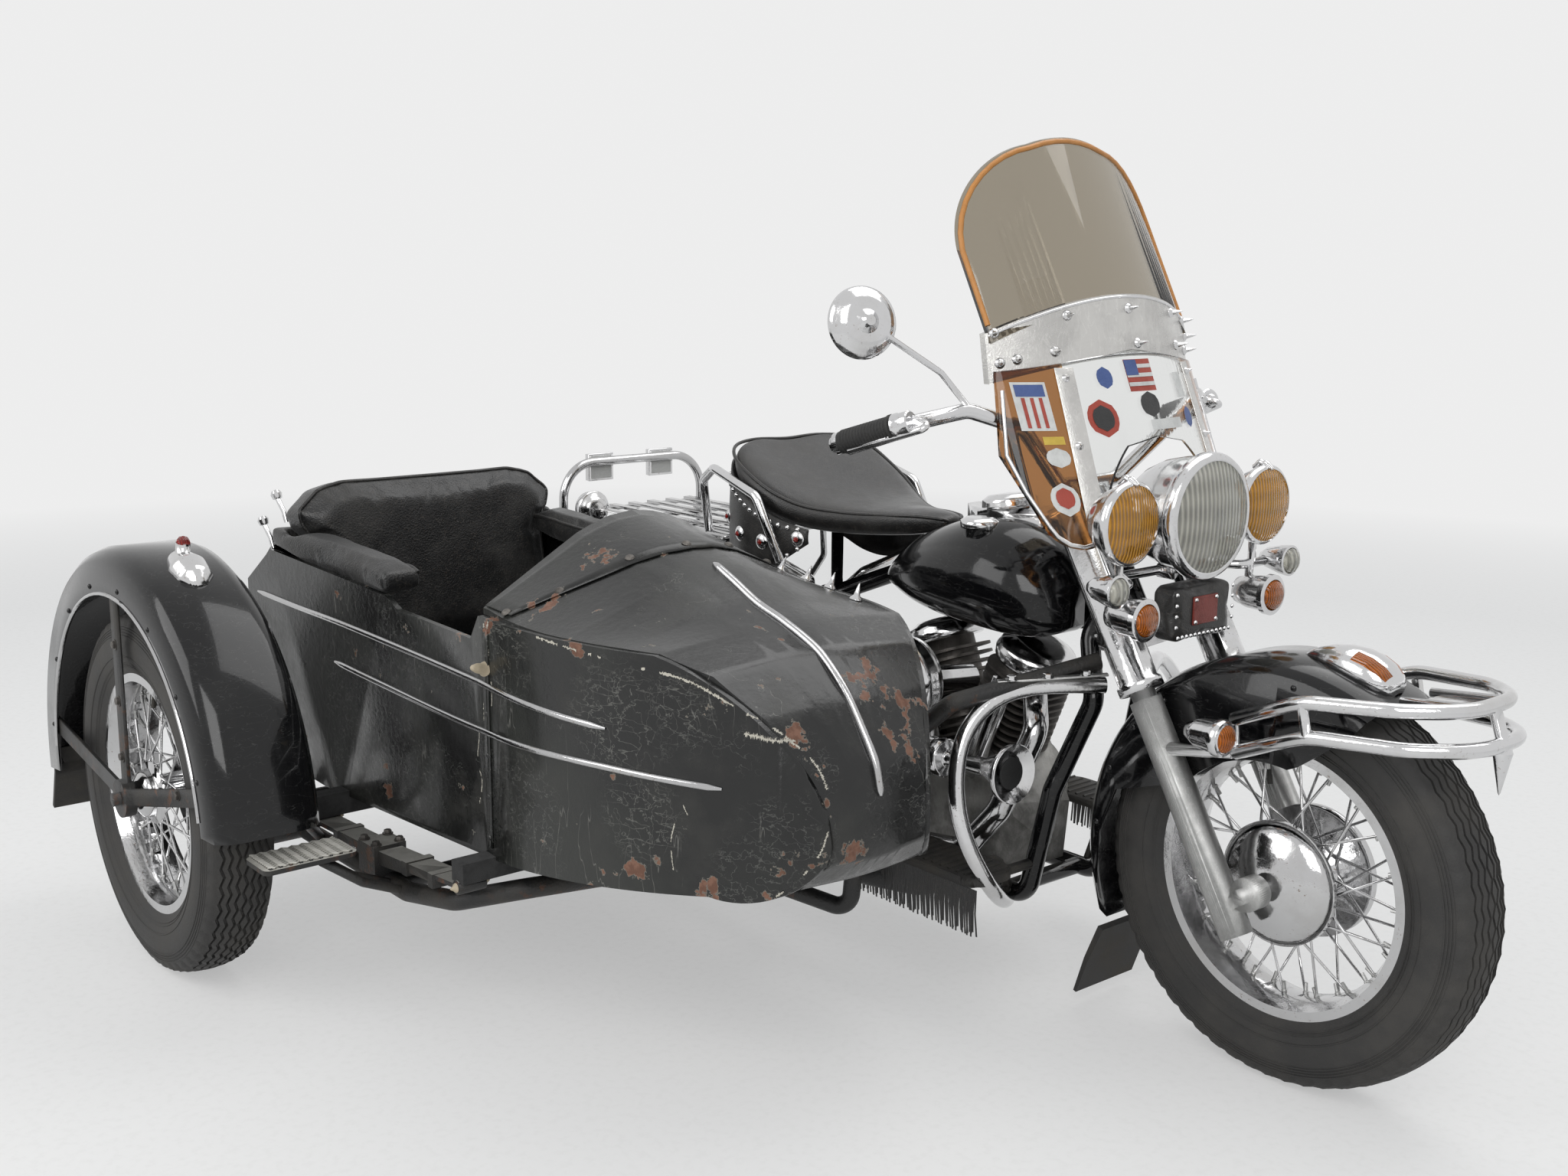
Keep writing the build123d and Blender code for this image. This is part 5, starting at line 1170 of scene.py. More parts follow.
def blown_up(piece, pressure, swell):
    """Swells a closed mesh by a short cloth simulation under pressure, no point further than a limit."""
    start = [vertex.co.copy() for vertex in piece.data.vertices]
    cloth = piece.modifiers.new("cloth", "CLOTH")
    cloth.settings.quality = 4
    cloth.settings.use_pressure, cloth.settings.uniform_pressure_force = True, pressure
    cloth.settings.effector_weights.gravity = 0
    cloth.point_cache.frame_start, cloth.point_cache.frame_end = 1, CLOTH_FRAMES
    for step in range(1, CLOTH_FRAMES + 1):
        bpy.context.scene.frame_set(step)
    applied(piece)
    bpy.context.scene.frame_set(1)
    for vertex, rest in zip(piece.data.vertices, start):
        move = vertex.co - rest
        if move.length > swell / MM_IN_M:
            vertex.co = rest + move.normalized() * swell / MM_IN_M


def stuffed(node, finish, shrink=7, swell=14, voxel=0.006, pressure=4.0, rounds=6):
    """Padded piece in a soft solid's place: drawn in, remeshed and smoothed, then blown up."""
    source = NODES[node]
    bm = merged(source.data)
    bmesh.ops.recalc_face_normals(bm, faces=bm.faces)
    bm.normal_update()
    for vertex in bm.verts:
        vertex.co -= vertex.normal * min(vertex.calc_shell_factor(), 1.5) * shrink / MM_IN_M
    piece = linked("padded_" + node, mesh_of(bm, "padded_" + node))
    remesh = piece.modifiers.new("remesh", "REMESH")
    remesh.mode, remesh.voxel_size = "VOXEL", voxel
    relax = piece.modifiers.new("relax", "SMOOTH")
    relax.iterations, relax.factor = rounds, 0.5
    applied(piece)
    blown_up(piece, pressure, swell)
    piece.data.shade_smooth()
    piece.data.materials.clear()
    piece.data.materials.append(finish)
    subdivided(piece, 1)
    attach(piece, source["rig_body"])
    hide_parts(node)
    return piece


def welt(name, points, finish, body, radius):
    """Piping along a seam."""
    bm = bmesh.new()
    tube(bm, smooth_line(points, 5), radius, 8)
    return add_piece(name, bm, finish, body, sharp=70)


def surface_of(mesh):
    """Tree of a mesh's faces, to look up places on it."""
    return BVHTree.FromPolygons([v.co for v in mesh.vertices], [tuple(p.vertices) for p in mesh.polygons])


def clinging(line, piece, lift=1.0):
    """The line's points, each moved to the nearest place on a piece."""
    tree = surface_of(piece.data)
    spots = [tree.find_nearest(at(*point)) for point in line]
    return [station_of(place) + normal * lift for place, normal, _, _ in spots]


# The skirt's plan: x, half width, and heights of the top and the bottom
SKIRT_PLAN = [
    (524, 156, 758, 732), (470, 184, 774, 690), (420, 197, 796, 662), (370, 194, 822, 650),
    (320, 178, 848, 656), (286, 146, 872, 684), (268, 90, 884, 712), (263, 40, 888, 722), (262, 0, 889, 700),
]
SKIRT_ROWS = (0, 0.2, 0.4, 0.6, 0.8, 1)


def skirt_out(place):
    """Way the saddle's skirt faces at a place."""
    return Vector((place.x - 400, place.y * 1.6, 0)).normalized()


class SIDECAR_OT_saddle(Operator):
    """Sprung saddle with its welt, and the studded skirt that hangs from it"""

    bl_idname = "sidecar.saddle"
    bl_label = "Saddle"

    def execute(self, context):
        bm = bmesh.new()
        rings = grid(bm, [saddle_ring(*section) for section in SADDLE_SECTIONS], closed=True)
        bm.faces.new(rings[0])
        bm.faces.new(list(reversed(rings[-1])))
        hide = add_piece("saddle_hide", bm, FINISHES["leather"], CHASSIS, ("saddle",), subdivide=3)
        seam = [(x, half * 0.955, middle + (edge - middle) * 0.9 + (under - edge) * 0.12)
                for x, half, middle, edge, under in SADDLE_SECTIONS]
        seam = ([(x - 4, -y, z) for x, y, z in seam] + [(270, 0, 900)]
                + [(x - 4, y, z) for x, y, z in reversed(seam)])
        welt("saddle_welt", seam, FINISHES["leather"], CHASSIS, 3.4)
        plan = [(x, -half, top, low) for x, half, top, low in SKIRT_PLAN]
        plan += [(x, half, top, low) for x, half, top, low in reversed(SKIRT_PLAN[:-1])]
        line = smooth_line([(x, y, top) for x, y, top, _ in plan], 6)
        lows = smooth_line([(x, y, low) for x, y, _, low in plan], 6)
        bm = bmesh.new()
        rows = []
        for share in SKIRT_ROWS:
            row = []
            for i, (a, b) in enumerate(zip(line, lows)):
                out = skirt_out(a)
                sag = 7 * sin(share * pi) + 3 * sin(i * 0.8) * share
                row.append(a.lerp(b, share) + out * sag * 0.5)
            rows.append(row)
        grid(bm, rows)
        skirt = add_piece("saddle_skirt_hide", bm, FINISHES["leather"], CHASSIS, ("saddle_skirt",), solid=4)
        spots, conchos = [], []
        for i in range(2, len(line) - 2, 2):
            a, b = line[i], lows[i]
            out = skirt_out(a)
            for share in (0.12, 0.93):
                spots.append((a.lerp(b, share) + out * 4.5, out, (0, 0, 1)))
            if i % 8 == 2:
                conchos.append((a.lerp(b, 0.5) + out * 6.5, out, (0, 0, 1)))
        set_out("skirt_studs", head(5, 4), spots, FINISHES["chrome"], CHASSIS)
        set_out("skirt_conchos", head(15, 5, 16), conchos, FINISHES["chrome"], CHASSIS)
        set_out("skirt_jewels", head(5.5, 5, 10), [(p + Vector(f) * 4, f, a) for p, f, a in conchos],
                FINISHES["red_lens"], CHASSIS)
        return {"FINISHED"}


# The seat back's seam: the ways out of the back and up it, a place on its face, and steps across and up
BACK_OUT, BACK_UP = Vector((0.9929, 0, 0.1191)), Vector((-0.1191, 0, 0.9929))
BACK_FACE = Vector((-128, CAR_Y, 660)) + BACK_OUT * 72
BACK_SEAM = [(-268, -170), (-268, 68), (-281, 100), (-279, 140), (-240, 175), (-186, 187), (0, 189),
             (186, 187), (240, 175), (279, 140), (281, 100), (268, 68), (268, -170)]
ARMREST_RISE = 1.35


class SIDECAR_OT_sidecar_seat(Operator):
    """Padded back, cushion and armrests of the sidecar, with piping along their seams"""

    bl_idname = "sidecar.sidecar_seat"
    bl_label = "Sidecar seat"

    def execute(self, context):
        back = stuffed("seat_back", FINISHES["grained"], shrink=0, swell=24, pressure=9, rounds=24)
        stuffed("seat_cushion", FINISHES["grained"])
        arms = stuffed("armrests", FINISHES["grained"], shrink=2, swell=9, rounds=10)
        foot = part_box("armrests")[0][2]
        for vertex in arms.data.vertices:
            vertex.co.z = foot + (vertex.co.z - foot) * ARMREST_RISE
        line = smooth_line([BACK_FACE + BACK_UP * up + Vector((0, y, 0)) for y, up in BACK_SEAM], 5)
        welt("seat_back_piping", clinging(line, back), FINISHES["leather"], CHASSIS, 4.0)
        for label, side in reversed(SIDES):
            y = CAR_Y + side * (CAR_HALF - 71)
            line = smooth_line([(-150, y, 745), (80, y, 738), (302, y, 730)], 8)
            welt(f"armrest_piping_{label}", clinging(line, arms), FINISHES["leather"], CHASSIS, 3.4)
        return {"FINISHED"}


# Share of the pouch's height that stays, and the panel's x
POUCH_SHARE, PANEL_X = 0.78, 1316


class SIDECAR_OT_pouch(Operator):
    """Studded tool pouch below the headlight, with a mottled red panel"""

    bl_idname = "sidecar.pouch"
    bl_label = "Pouch"

    def execute(self, context):
        pouch = stuffed("pouch", FINISHES["leather"], shrink=3, swell=4, voxel=0.004)
        low, high = (station_of(corner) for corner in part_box("pouch"))
        foot = high.z - (high.z - low.z) * POUCH_SHARE
        for vertex in pouch.data.vertices:
            vertex.co.z = (high.z - (high.z - vertex.co.z * MM_IN_M) * POUCH_SHARE) / MM_IN_M
        panel = (high.z + foot) / 2 + 4
        bm = bmesh.new()
        block(bm, (PANEL_X, 0, panel), (4, 62, 46))
        add_piece("pouch_panel", bm, FINISHES["red"], STEERING, bevel=1.5)
        rows = [(-66 + 11 * i, foot + 12) for i in range(13)]
        rows += [(y, foot + 12 + i * (high.z - foot - 24) / 4) for y in (-72, 72) for i in range(1, 5)]
        spots = [((PANEL_X - 0.5, y, z), (1, 0, 0)) for y, z in rows]
        spots += [((PANEL_X + 2, y, panel + z), (1, 0, 0)) for y in (-26, 26) for z in (-18, 18)]
        set_out("pouch_studs", head(3.6, 3.4), upright(spots), FINISHES["chrome"], STEERING)
        return {"FINISHED"}


# Windshield

SURFACES = {}


def touch(node, start, aim, lift=0.0):
    """Where a line from a station first meets a solid: the lifted point and its normal, or nothing."""
    if node not in SURFACES:
        SURFACES[node] = surface_of(NODES[node].data)
    aim = Vector(aim).normalized()
    place, normal, _, _ = SURFACES[node].ray_cast(at(*start), aim)
    if place is None:
        return None
    if normal.dot(aim) > 0:
        normal = -normal
    return station_of(place) + normal * lift, normal


# Where lines start that look back at the windshield, and down at the sidecar
AHEAD_X, ABOVE_Z = 1600, 1000


def on_front(node, y, z, lift=0.0):
    """Where a line from ahead first meets a sheet of the windshield, as touch gives it."""
    return touch(node, (AHEAD_X, y, z), (-1, 0, 0), lift)


def on_cowl(x, y, lift):
    """Where a line from above first meets the sidecar's cowl, as touch gives it."""
    return touch("body_cowl", (x, y, ABOVE_Z), (0, 0, -1), lift)


def arc(a, b, c, steps):
    """Points of the circle's arc from a through b to c, in two dimensions."""
    a, b, c = Vector(a), Vector(b), Vector(c)
    d = 2 * (a.x * (b.y - c.y) + b.x * (c.y - a.y) + c.x * (a.y - b.y))
    aa, bb, cc = (point.length_squared for point in (a, b, c))
    x = (aa * (b.y - c.y) + bb * (c.y - a.y) + cc * (a.y - b.y)) / d
    y = (aa * (c.x - b.x) + bb * (a.x - c.x) + cc * (b.x - a.x)) / d
    middle = Vector((x, y))
    first, mid, last = (atan2((p - middle).y, (p - middle).x) for p in (a, b, c))
    if not min(first, last) < mid < max(first, last):
        last += 2 * pi if last < first else -2 * pi
    r = (a - middle).length
    turns = [first + (last - first) * i / steps for i in range(steps + 1)]
    return [(middle.x + r * cos(t), middle.y + r * sin(t)) for t in turns]


STRAP_Y, STRAP_HALF = 150, 15
BAND_STUDS = [(-238, 1148), (-234, 1102), (-210, 1108), (-152, 1120), (-127, 1176), (0, 1186), (17, 1130),
              (139, 1176), (152, 1122), (208, 1160), (212, 1110), (236, 1132)]
# Outline of the upper pane: half width, foot and shoulder
PANE_HALF, PANE_FOOT, PANE_SHOULDER = 243, 1160, 1276
# Least half width of a round sticker's tips, as a share of its own
STICKER_TIP = 0.03
# Stickers: name, y and z of the middle, width, height, finish, lift, and whether they are round
STICKERS = [
    ("white", -208, 1036, 48, 74, "decal_white", 1.2, False),
    ("blue_top", -208, 1060, 40, 18, "decal_blue", 1.8, False),
    ("stripe_0", -220, 1026, 5, 46, "decal_red", 1.8, False),
    ("stripe_1", -208, 1026, 5, 46, "decal_red", 1.8, False),
    ("stripe_2", -196, 1026, 5, 46, "decal_red", 1.8, False),
    ("yellow", -192, 984, 30, 12, "decal_yellow", 1.2, False),
    ("pale", -192, 958, 34, 30, "decal_white", 1.2, True),
    ("red_disc", -198, 895, 40, 50, "decal_white", 1.2, True),
    ("red_heart", -198, 897, 26, 32, "decal_red", 1.9, True),
    ("round", -82, 1078, 30, 34, "decal_blue", 1.2, True),
    ("banner", -4, 1080, 64, 50, "decal_red", 1.2, False),
    ("banner_stripe_0", -4, 1066, 62, 6, "decal_white", 1.8, False),
    ("banner_stripe_1", -4, 1080, 62, 6, "decal_white", 1.8, False),
    ("banner_stripe_2", -4, 1094, 62, 6, "decal_white", 1.8, False),
    ("banner_corner", -22, 1092, 28, 24, "decal_blue", 2.4, False),
    ("dark_disc", -104, 1016, 56, 58, "decal_red", 1.2, True),
    ("dark_core", -104, 1016, 38, 40, "dial", 1.9, True),
    ("dark_shape", 2, 1034, 46, 40, "dial", 1.2, True),
    ("plate", 34, 1002, 84, 16, "decal_white", 1.2, False),
    ("right", 104, 1060, 26, 40, "decal_white", 1.2, False),
    ("right_disc", 108, 1008, 26, 34, "decal_blue", 1.2, True),
]


def front_strip(name, node, line, radius, finish):
    """Rod that lies on the front of a sheet, along a line of (y, z)."""
    bm = bmesh.new()
    tube(bm, [on_front(node, y, z)[0] for y, z in line], radius, 10)
    return add_piece(name, bm, finish, STEERING)


def sticker(name, y, z, wide, tall, finish, lift, disc):
    """Thin sheet stuck to the lower windshield, its outline a rectangle or an ellipse."""
    steps = [-1 + i / 3 for i in range(7)]
    rows = []
    for v in steps:
        half = max(sqrt(max(1 - v * v, 0.0)), STICKER_TIP) if disc else 1
        row = [(y + u * half * wide / 2, z + v * tall / 2) for u in steps]
        rows.append([on_front("windshield_wings", a, b, lift)[0] for a, b in row])
    bm = bmesh.new()
    grid(bm, rows)
    add_piece("sticker_" + name, bm, FINISHES[finish], STEERING)


def two_tone_wings():
    """The lower windshield's skin: brown wings beside a clear middle, cut along the straps."""
    lower = smoothed("windshield_wings", FINISHES["brown"], 30)
    bm = bmesh.new()
    bm.from_mesh(lower.data)
    for side in (-1, 1):
        bmesh.ops.bisect_plane(bm, geom=bm.verts[:] + bm.edges[:] + bm.faces[:],
                               plane_co=at(0, side * STRAP_Y, 0), plane_no=(0, 1, 0))
    middle = at(0, 0, 0).y
    for face in bm.faces:
        face.material_index = int(abs(face.calc_center_median().y - middle) < STRAP_Y / MM_IN_M)
    bm.to_mesh(lower.data)
    bm.free()
    lower.data.materials.append(FINISHES["clear"])


class SIDECAR_OT_windshield(Operator):
    """Tinted and clear sheets, the band's edges and pointed studs, straps, edgings and faded stickers"""

    bl_idname = "sidecar.windshield"
    bl_label = "Windshield"

    def execute(self, context):
        two_tone_wings()
        half = PANE_HALF
        top = arc((half, PANE_SHOULDER), (half * 0.762, 1393), (half * 0.36, 1441), 9)
        top += arc((half * 0.36, 1441), (0, 1455), (-half * 0.36, 1441), 6)[1:]
        top += [(-y, z) for y, z in reversed(top[:9])]
        rim = [(half, PANE_FOOT), (half, 1220)] + top + [(-half, 1220), (-half, PANE_FOOT)]
        front_strip("pane_edging", "windshield_pane", rim, 4.6, FINISHES["trim"])
        for label, side in SIDES:
            line = [(side * y, z) for y, z in ((243, 1060), (258, 962), (246, 905), (229, 856))]
            line += [(side * y, z) for y, z in arc((229, 856), (190, 824), (151, 856), 6)[1:]]
            front_strip(f"wing_edging_{label}", "windshield_wings", line, 3.6, FINISHES["chrome"])
            rows = []
            for i in range(12):
                z = 1094 - i * 21
                y = side * (STRAP_Y + i * 1.1)
                rows.append([on_front("windshield_wings", y + side * d, z, 3)[0]
                             for d in (-STRAP_HALF, 0, STRAP_HALF)])
            bm = bmesh.new()
            grid(bm, rows)
            add_piece(f"windshield_strap_{label}", bm, FINISHES["band"], STEERING, solid=2.4, bevel=0.8)
            screws = [on_front("windshield_wings", side * (STRAP_Y + d), z, 4)
                      for d, z in ((1, 1078), (8, 975), (12, 880))]
            set_out(f"strap_screws_{label}", head(7, 4, 12, 7), upright(screws), FINISHES["chrome"], STEERING)
        for label, z_mid, z_end in (("upper", 1205, 1144), ("lower", 1113, 1074)):
            line = arc((-246, z_end), (0, z_mid), (246, z_end), 20)
            front_strip(f"band_{label}_edge", "windshield_band", line, 2.6, FINISHES["chrome"])
        studs = [on_front("windshield_band", y, z) for y, z in BAND_STUDS]
        set_out("band_studs", head(9, 6, 14, 16), upright(studs), FINISHES["chrome"], STEERING)
        for row in STICKERS:
            sticker(*row)
        return {"FINISHED"}


# Handlebar

GRIP_INNER, GRIP_OUTER = Vector((1003, 384, 1006)), Vector((886, 415, 968))
GRIP_COLLAR = [(-26, 0), (-26, 17), (-24, 19.5), (-4, 19.5), (-2, 21), (4, 21), (5, 0)]
MIRROR, MIRROR_FACE = Vector((1000, -462, 1167)), Vector((-0.94, 0.3, -0.16))


class SIDECAR_OT_handlebar(Operator):
    """Ribbed rubber grips with chrome collars, and the round mirror's rim, boss and glass"""

    bl_idname = "sidecar.handlebar"
    bl_label = "Handlebar fittings"

    def execute(self, context):
        for label, side in SIDES:
            inner, outer = on_side(GRIP_INNER, side), on_side(GRIP_OUTER, side)
            axis = (outer - inner).normalized()
            length = (outer - inner).length
            profile = [(6, 0), (6, 18.6), (8, 21.5), (12, 21.5), (14, 19)]
            station = 16
            while station < length - 22:
                profile += [(station, 18.6), (station + 1.2, 19.9), (station + 3.4, 19.9),
                            (station + 4.6, 18.6)]
                station += 6
            profile += [(length - 12, 17.5), (length - 6, 16.5), (length - 4, 13), (length - 3, 0)]
            bm = bmesh.new()
            lathe(bm, profile, inner, axis, 32)
            add_piece(f"grip_{label}", bm, FINISHES["grip"], STEERING)
            bm = bmesh.new()
            lathe(bm, GRIP_COLLAR, inner, axis, 40)
            add_piece(f"grip_collar_{label}", bm, FINISHES["chrome"], STEERING)
        bm = bmesh.new()
        lathe(bm, [(-4, 50), (-3, 55), (1, 56), (3, 54), (2, 51), (-1, 51)], MIRROR, MIRROR_FACE, 56)
        lathe(bm, [(-34, 0), (-34, 8), (-26, 12), (-20, 22), (-17, 24), (-16, 0)], MIRROR, MIRROR_FACE, 32)
        add_piece("mirror_rim", bm, FINISHES["chrome"], STEERING)
        bm = bmesh.new()
        lathe(bm, [(0.4, 0), (1.6, 0), (1.4, 30), (0.8, 51), (-0.4, 51), (0.4, 0)], MIRROR, MIRROR_FACE, 56)
        add_piece("mirror_glass", bm, FINISHES["mirror"], STEERING)
        return {"FINISHED"}


# Sidecar body

# Each bright strip along the sides: x and z of its places
SIDE_STRIPS = [
    [(-236, 614), (-56, 612), (151, 612), (464, 606), (765, 598), (941, 593)],
    [(98, 536), (260, 531), (591, 524), (887, 534), (1000, 534), (1118, 531)],
]
# The joint across the body: its x, the foot of its cover, and heights of the rivets and of the bullet fitting
SEAM_X, SEAM_FOOT = 646, 336
SEAM_RIVETS, SEAM_BULLET = (352, 420, 488, 556, 690), 628
BULLET_FITTING = [(0, 11), (4, 12), (8, 9), (22, 8), (34, 4.5), (40, 0)]
# The lapped sheet's front edge, by y and x, and the spikes along the deck, by x and y
LAP_EDGE = [(-905, 700), (-835, 742), (-727, 776), (-630, 792), (-533, 776), (-425, 742), (-355, 700)]
DECK_SPIKES = [(700, -372), (775, -376), (850, -388), (930, -402)]
# Lines of flaked paint: half width, share that is missing, and stations
FLAKED = [
    (1.7, 0.25, [(800, -930, 708), (887, -909, 701), (980, -883, 694), (1064, -848, 684), (1107, -826, 667),
                 (1147, -802, 645), (1173, -774, 624), (1189, -752, 603), (1207, -731, 578),
                 (1222, -722, 552), (1233, -718, 518)]),
    (1.3, 0.4, [(1240, -727, 482), (1233, -737, 448), (1212, -755, 410), (1185, -775, 381)]),
    (3.0, 0.15, [(1140, -806, 616), (1162, -790, 612), (1176, -778, 608), (1188, -745, 604)]),
    (2.4, 0.3, [(656, -921, 706), (650, -921, 680), (654, -921, 655), (647, -921, 632), (652, -921, 600)]),
    (1.5, 0.3, [(640, -921, 700), (636, -921, 650), (640, -921, 610), (634, -921, 560), (638, -921, 520)]),
    (1.2, 0.4, [(660, -921, 640), (664, -921, 590), (658, -921, 540), (662, -921, 480)]),
    (1.0, 0.3, [(618, -921, 520), (610, -921, 470), (622, -921, 440), (612, -921, 400)]),
    (0.9, 0.1, [(1052, -854, 470), (1046, -856, 440), (1050, -855, 400)]),
    (0.8, 0.1, [(1066, -850, 500), (1072, -846, 486)]),
]


def flaked_line(bm, stations, half, missing, dice):
    """Ragged flakes laid on the body's right side along a line of stations."""
    line = smooth_line(stations, 16)
    rows, shown = [], True
    for place in line:
        turn = min(max((place.x - 650) / 590, 0), 1)
        aim = Vector((-0.75 * turn, 1 - 0.35 * turn, -0.2 * turn))
        start = place - aim * 300
        hits = [touch(node, start, aim, 0.4) for node in ("body_side_right", "body_cowl")]
        hits = [spot for spot in hits if spot]
        rows.append(min(hits, key=lambda spot: (spot[0] - start).length) if hits else None)
    for i in range(len(line) - 1):
        if dice.random() < 0.24:
            shown = dice.random() > missing
        if not shown or None in rows[i:i + 2]:
            continue
        (a, normal), (b, _) = rows[i], rows[i + 1]
        across = (b - a).cross(normal).normalized()
        sides = [half * dice.uniform(0.15, 1.5) ** 1.6 for _ in range(6)]
        middle = (a + b) / 2
        ring = [a + across * sides[0], middle + across * sides[1], b + across * sides[2],
                b - across * sides[3], middle - across * sides[4], a - across * sides[5]]
        bm.faces.new([bm.verts.new(p) for p in ring])


def side_trim(label, side):
    """Bright strips, and the joint's cover with its rivets and bullet fitting, on one side of the body."""
    node = "body_side_" + label

    def on_wall(x, z, lift):
        return touch(node, (x, CAR_Y + side * 500, z), (0, -side, 0), lift)

    bm = bmesh.new()
    for strip in SIDE_STRIPS:
        line = smooth_line([(x, 0, z) for x, z in strip], 6)
        tube(bm, [on_wall(q.x, q.z, 1.0)[0] for q in line],
             lambda t: 5.2 * min(1, 0.4 + 40 * min(t, 1 - t)), 10, flat=0.8, up=(0, 1, 0))
    add_piece(f"side_strips_{label}", bm, FINISHES["strip"], CHASSIS)
    bm = bmesh.new()
    grid(bm, [[on_wall(x, SEAM_FOOT + i * 25.5, 1.2)[0] for x in (SEAM_X - 9, SEAM_X, SEAM_X + 9)]
              for i in range(15)])
    add_piece(f"joint_cover_{label}", bm, FINISHES["worn"], CHASSIS, solid=2.0)
    heads = [on_wall(SEAM_X, z, 2) for z in SEAM_RIVETS]
    set_out(f"joint_rivets_{label}", head(4.5, 2.6), upright(heads), FINISHES["worn"], CHASSIS)
    bullet, out = on_wall(SEAM_X, SEAM_BULLET, 1)
    bm = bmesh.new()
    lathe(bm, BULLET_FITTING, bullet, out + Vector((0.5, 0, 0.3)), 24)
    add_piece(f"bullet_fitting_{label}", bm, FINISHES["ivory"], CHASSIS)


def lapped_sheet():
    """Sheet lapped over the cowl in front of the cockpit, with bolts along its curved front edge."""
    rows = []
    for i in range(27):
        y = -906 + i * (552 / 26)
        front = 792 - 92 * (abs(y - CAR_Y) / 276) ** 1.8
        rows.append([on_cowl(626 + (front - 626) * j / 6, y, 2.2)[0] for j in range(7)])
    bm = bmesh.new()
    grid(bm, rows)
    add_piece("lapped_sheet", bm, FINISHES["worn"], CHASSIS, solid=2.4)
    bolts = [on_cowl(x - 14, y, 3.6) for y, x in LAP_EDGE]
    set_out("lapped_sheet_bolts", head(8, 5, 14), upright(bolts), FINISHES["iron"], CHASSIS)


class SIDECAR_OT_body_trim(Operator):
    """Bright strips, joint covers, nose bead, flaked paint, lapped sheet, spikes and pegs of the sidecar"""

    bl_idname = "sidecar.body_trim"
    bl_label = "Sidecar trim"

    def execute(self, context):
        for label, side in reversed(SIDES):
            side_trim(label, side)
        line = [on_cowl(x, CAR_Y, 2)[0] for x in (850, 900, 960, 1020, 1080)]
        line += [touch("body_cowl", (1500, CAR_Y, z), (-1, 0, 0), 2)[0] for z in (688, 650, 605, 560, 514)]
        bm = bmesh.new()
        tube(bm, smooth_line(line, 6), lambda t: 6.5 * min(1, 0.4 + 30 * min(t, 1 - t)), 14)
        add_piece("nose_bead", bm, FINISHES["strip"], CHASSIS)
        dice = Random(11)
        bm = bmesh.new()
        for half, missing, stations in FLAKED:
            flaked_line(bm, stations, half, missing, dice)
        add_piece("flaked_paint", bm, FINISHES["flaked"], CHASSIS)
        lapped_sheet()
        spikes = [on_cowl(x, y, 1) for x, y in DECK_SPIKES]
        set_out("deck_spikes", head(11, 8, 16, 20), upright(spikes), FINISHES["chrome"], CHASSIS)
        bm = bmesh.new()
        for y, z in ((-887, 798), (-916, 750)):
            tube(bm, [(-176, y + 6, z - 44), (-182, y + 4, z - 24), (-200, y, z)], 5, 10)
            lathe(bm, [(-3, 0), (0, 9), (9, 11), (15, 8), (18, 0)], (-200, y, z), (-0.4, -0.1, 0.9), 18)
        add_piece("rear_pegs", bm, FINISHES["chrome"], CHASSIS)
        return {"FINISHED"}


# Step and springs

STEP_RIBS, STEP_RIB_BENDS = 11, 16
# Distance of each leaf spring from the sidecar's middle, and x and z of the bolts in its two eyes
SPRING_Y, SPRING_EYES, SPRING_SEAT_X = 330, ((645, 282), (115, 250)), 340


class SIDECAR_OT_step_trim(Operator):
    """Worn zigzag ribs of the step, and the bolts and nuts of the leaf springs"""

    bl_idname = "sidecar.step_trim"
    bl_label = "Step trim"

    def execute(self, context):
        bm = bmesh.new()
        for i in range(STEP_RIBS):
            x = 372 + i * 7.2
            line = [(x + (3 if j % 2 else -3), -1207 + j * 9, 307.5) for j in range(STEP_RIB_BENDS + 1)]
            tube(bm, line, 1.7, 6)
        add_piece("step_ribs", bm, FINISHES["white"], CHASSIS)
        bolts, nuts = [], []
        for side in (-1, 1):
            y = CAR_Y + side * SPRING_Y
            bolts += [((x, y + d * 25, z), (0, d, 0)) for x, z in SPRING_EYES for d in (-1, 1)]
            nuts += [((SPRING_SEAT_X + dx, y + dy, 273), (0, 0, 1), (1, 0, 0))
                     for dx in (-22, 22) for dy in (-22, 22)]
        set_out("spring_eye_bolts", head(8, 6, 12, 5), upright(bolts), FINISHES["ivory"], CHASSIS)
        set_out("spring_seat_nuts", hexagon(7, 7), nuts, FINISHES["iron"], CHASSIS)
        return {"FINISHED"}


# Fenders

CAR_RIM, CAR_FENDER_HALF = 361, 88.5
# Where lines towards the wheel bracket's outer bolts meet it, by x and z
BRACE_BOLTS = ((31, 360), (94, 368), (0, 400), (0, 500), (0, 600), (-120, 366), (-260, 395), (260, 395))


def fender_rim(axle, radius, half, start, stop, steps=40):
    """Line along a fender's side edge, at a radius about its axle."""
    turns = [radians(start + (stop - start) * i / steps) for i in range(steps + 1)]
    return [(axle[0] + radius * cos(t), axle[1] + half, AXLE_Z + radius * sin(t)) for t in turns]


def ring_of_rivets(node, axle, side, radius, degrees, lift=0.5):
    """Spots on a fender's side, at a radius and at angles about its axle."""
    spots = []
    for degree in degrees:
        t = radians(degree)
        start = (axle[0] + radius * cos(t), axle[1] + side * 300, AXLE_Z + radius * sin(t))
        spot = touch(node, start, (0, -side, 0), lift)
        if spot:
            spots.append((*spot, (cos(t), 0, sin(t))))
    return spots


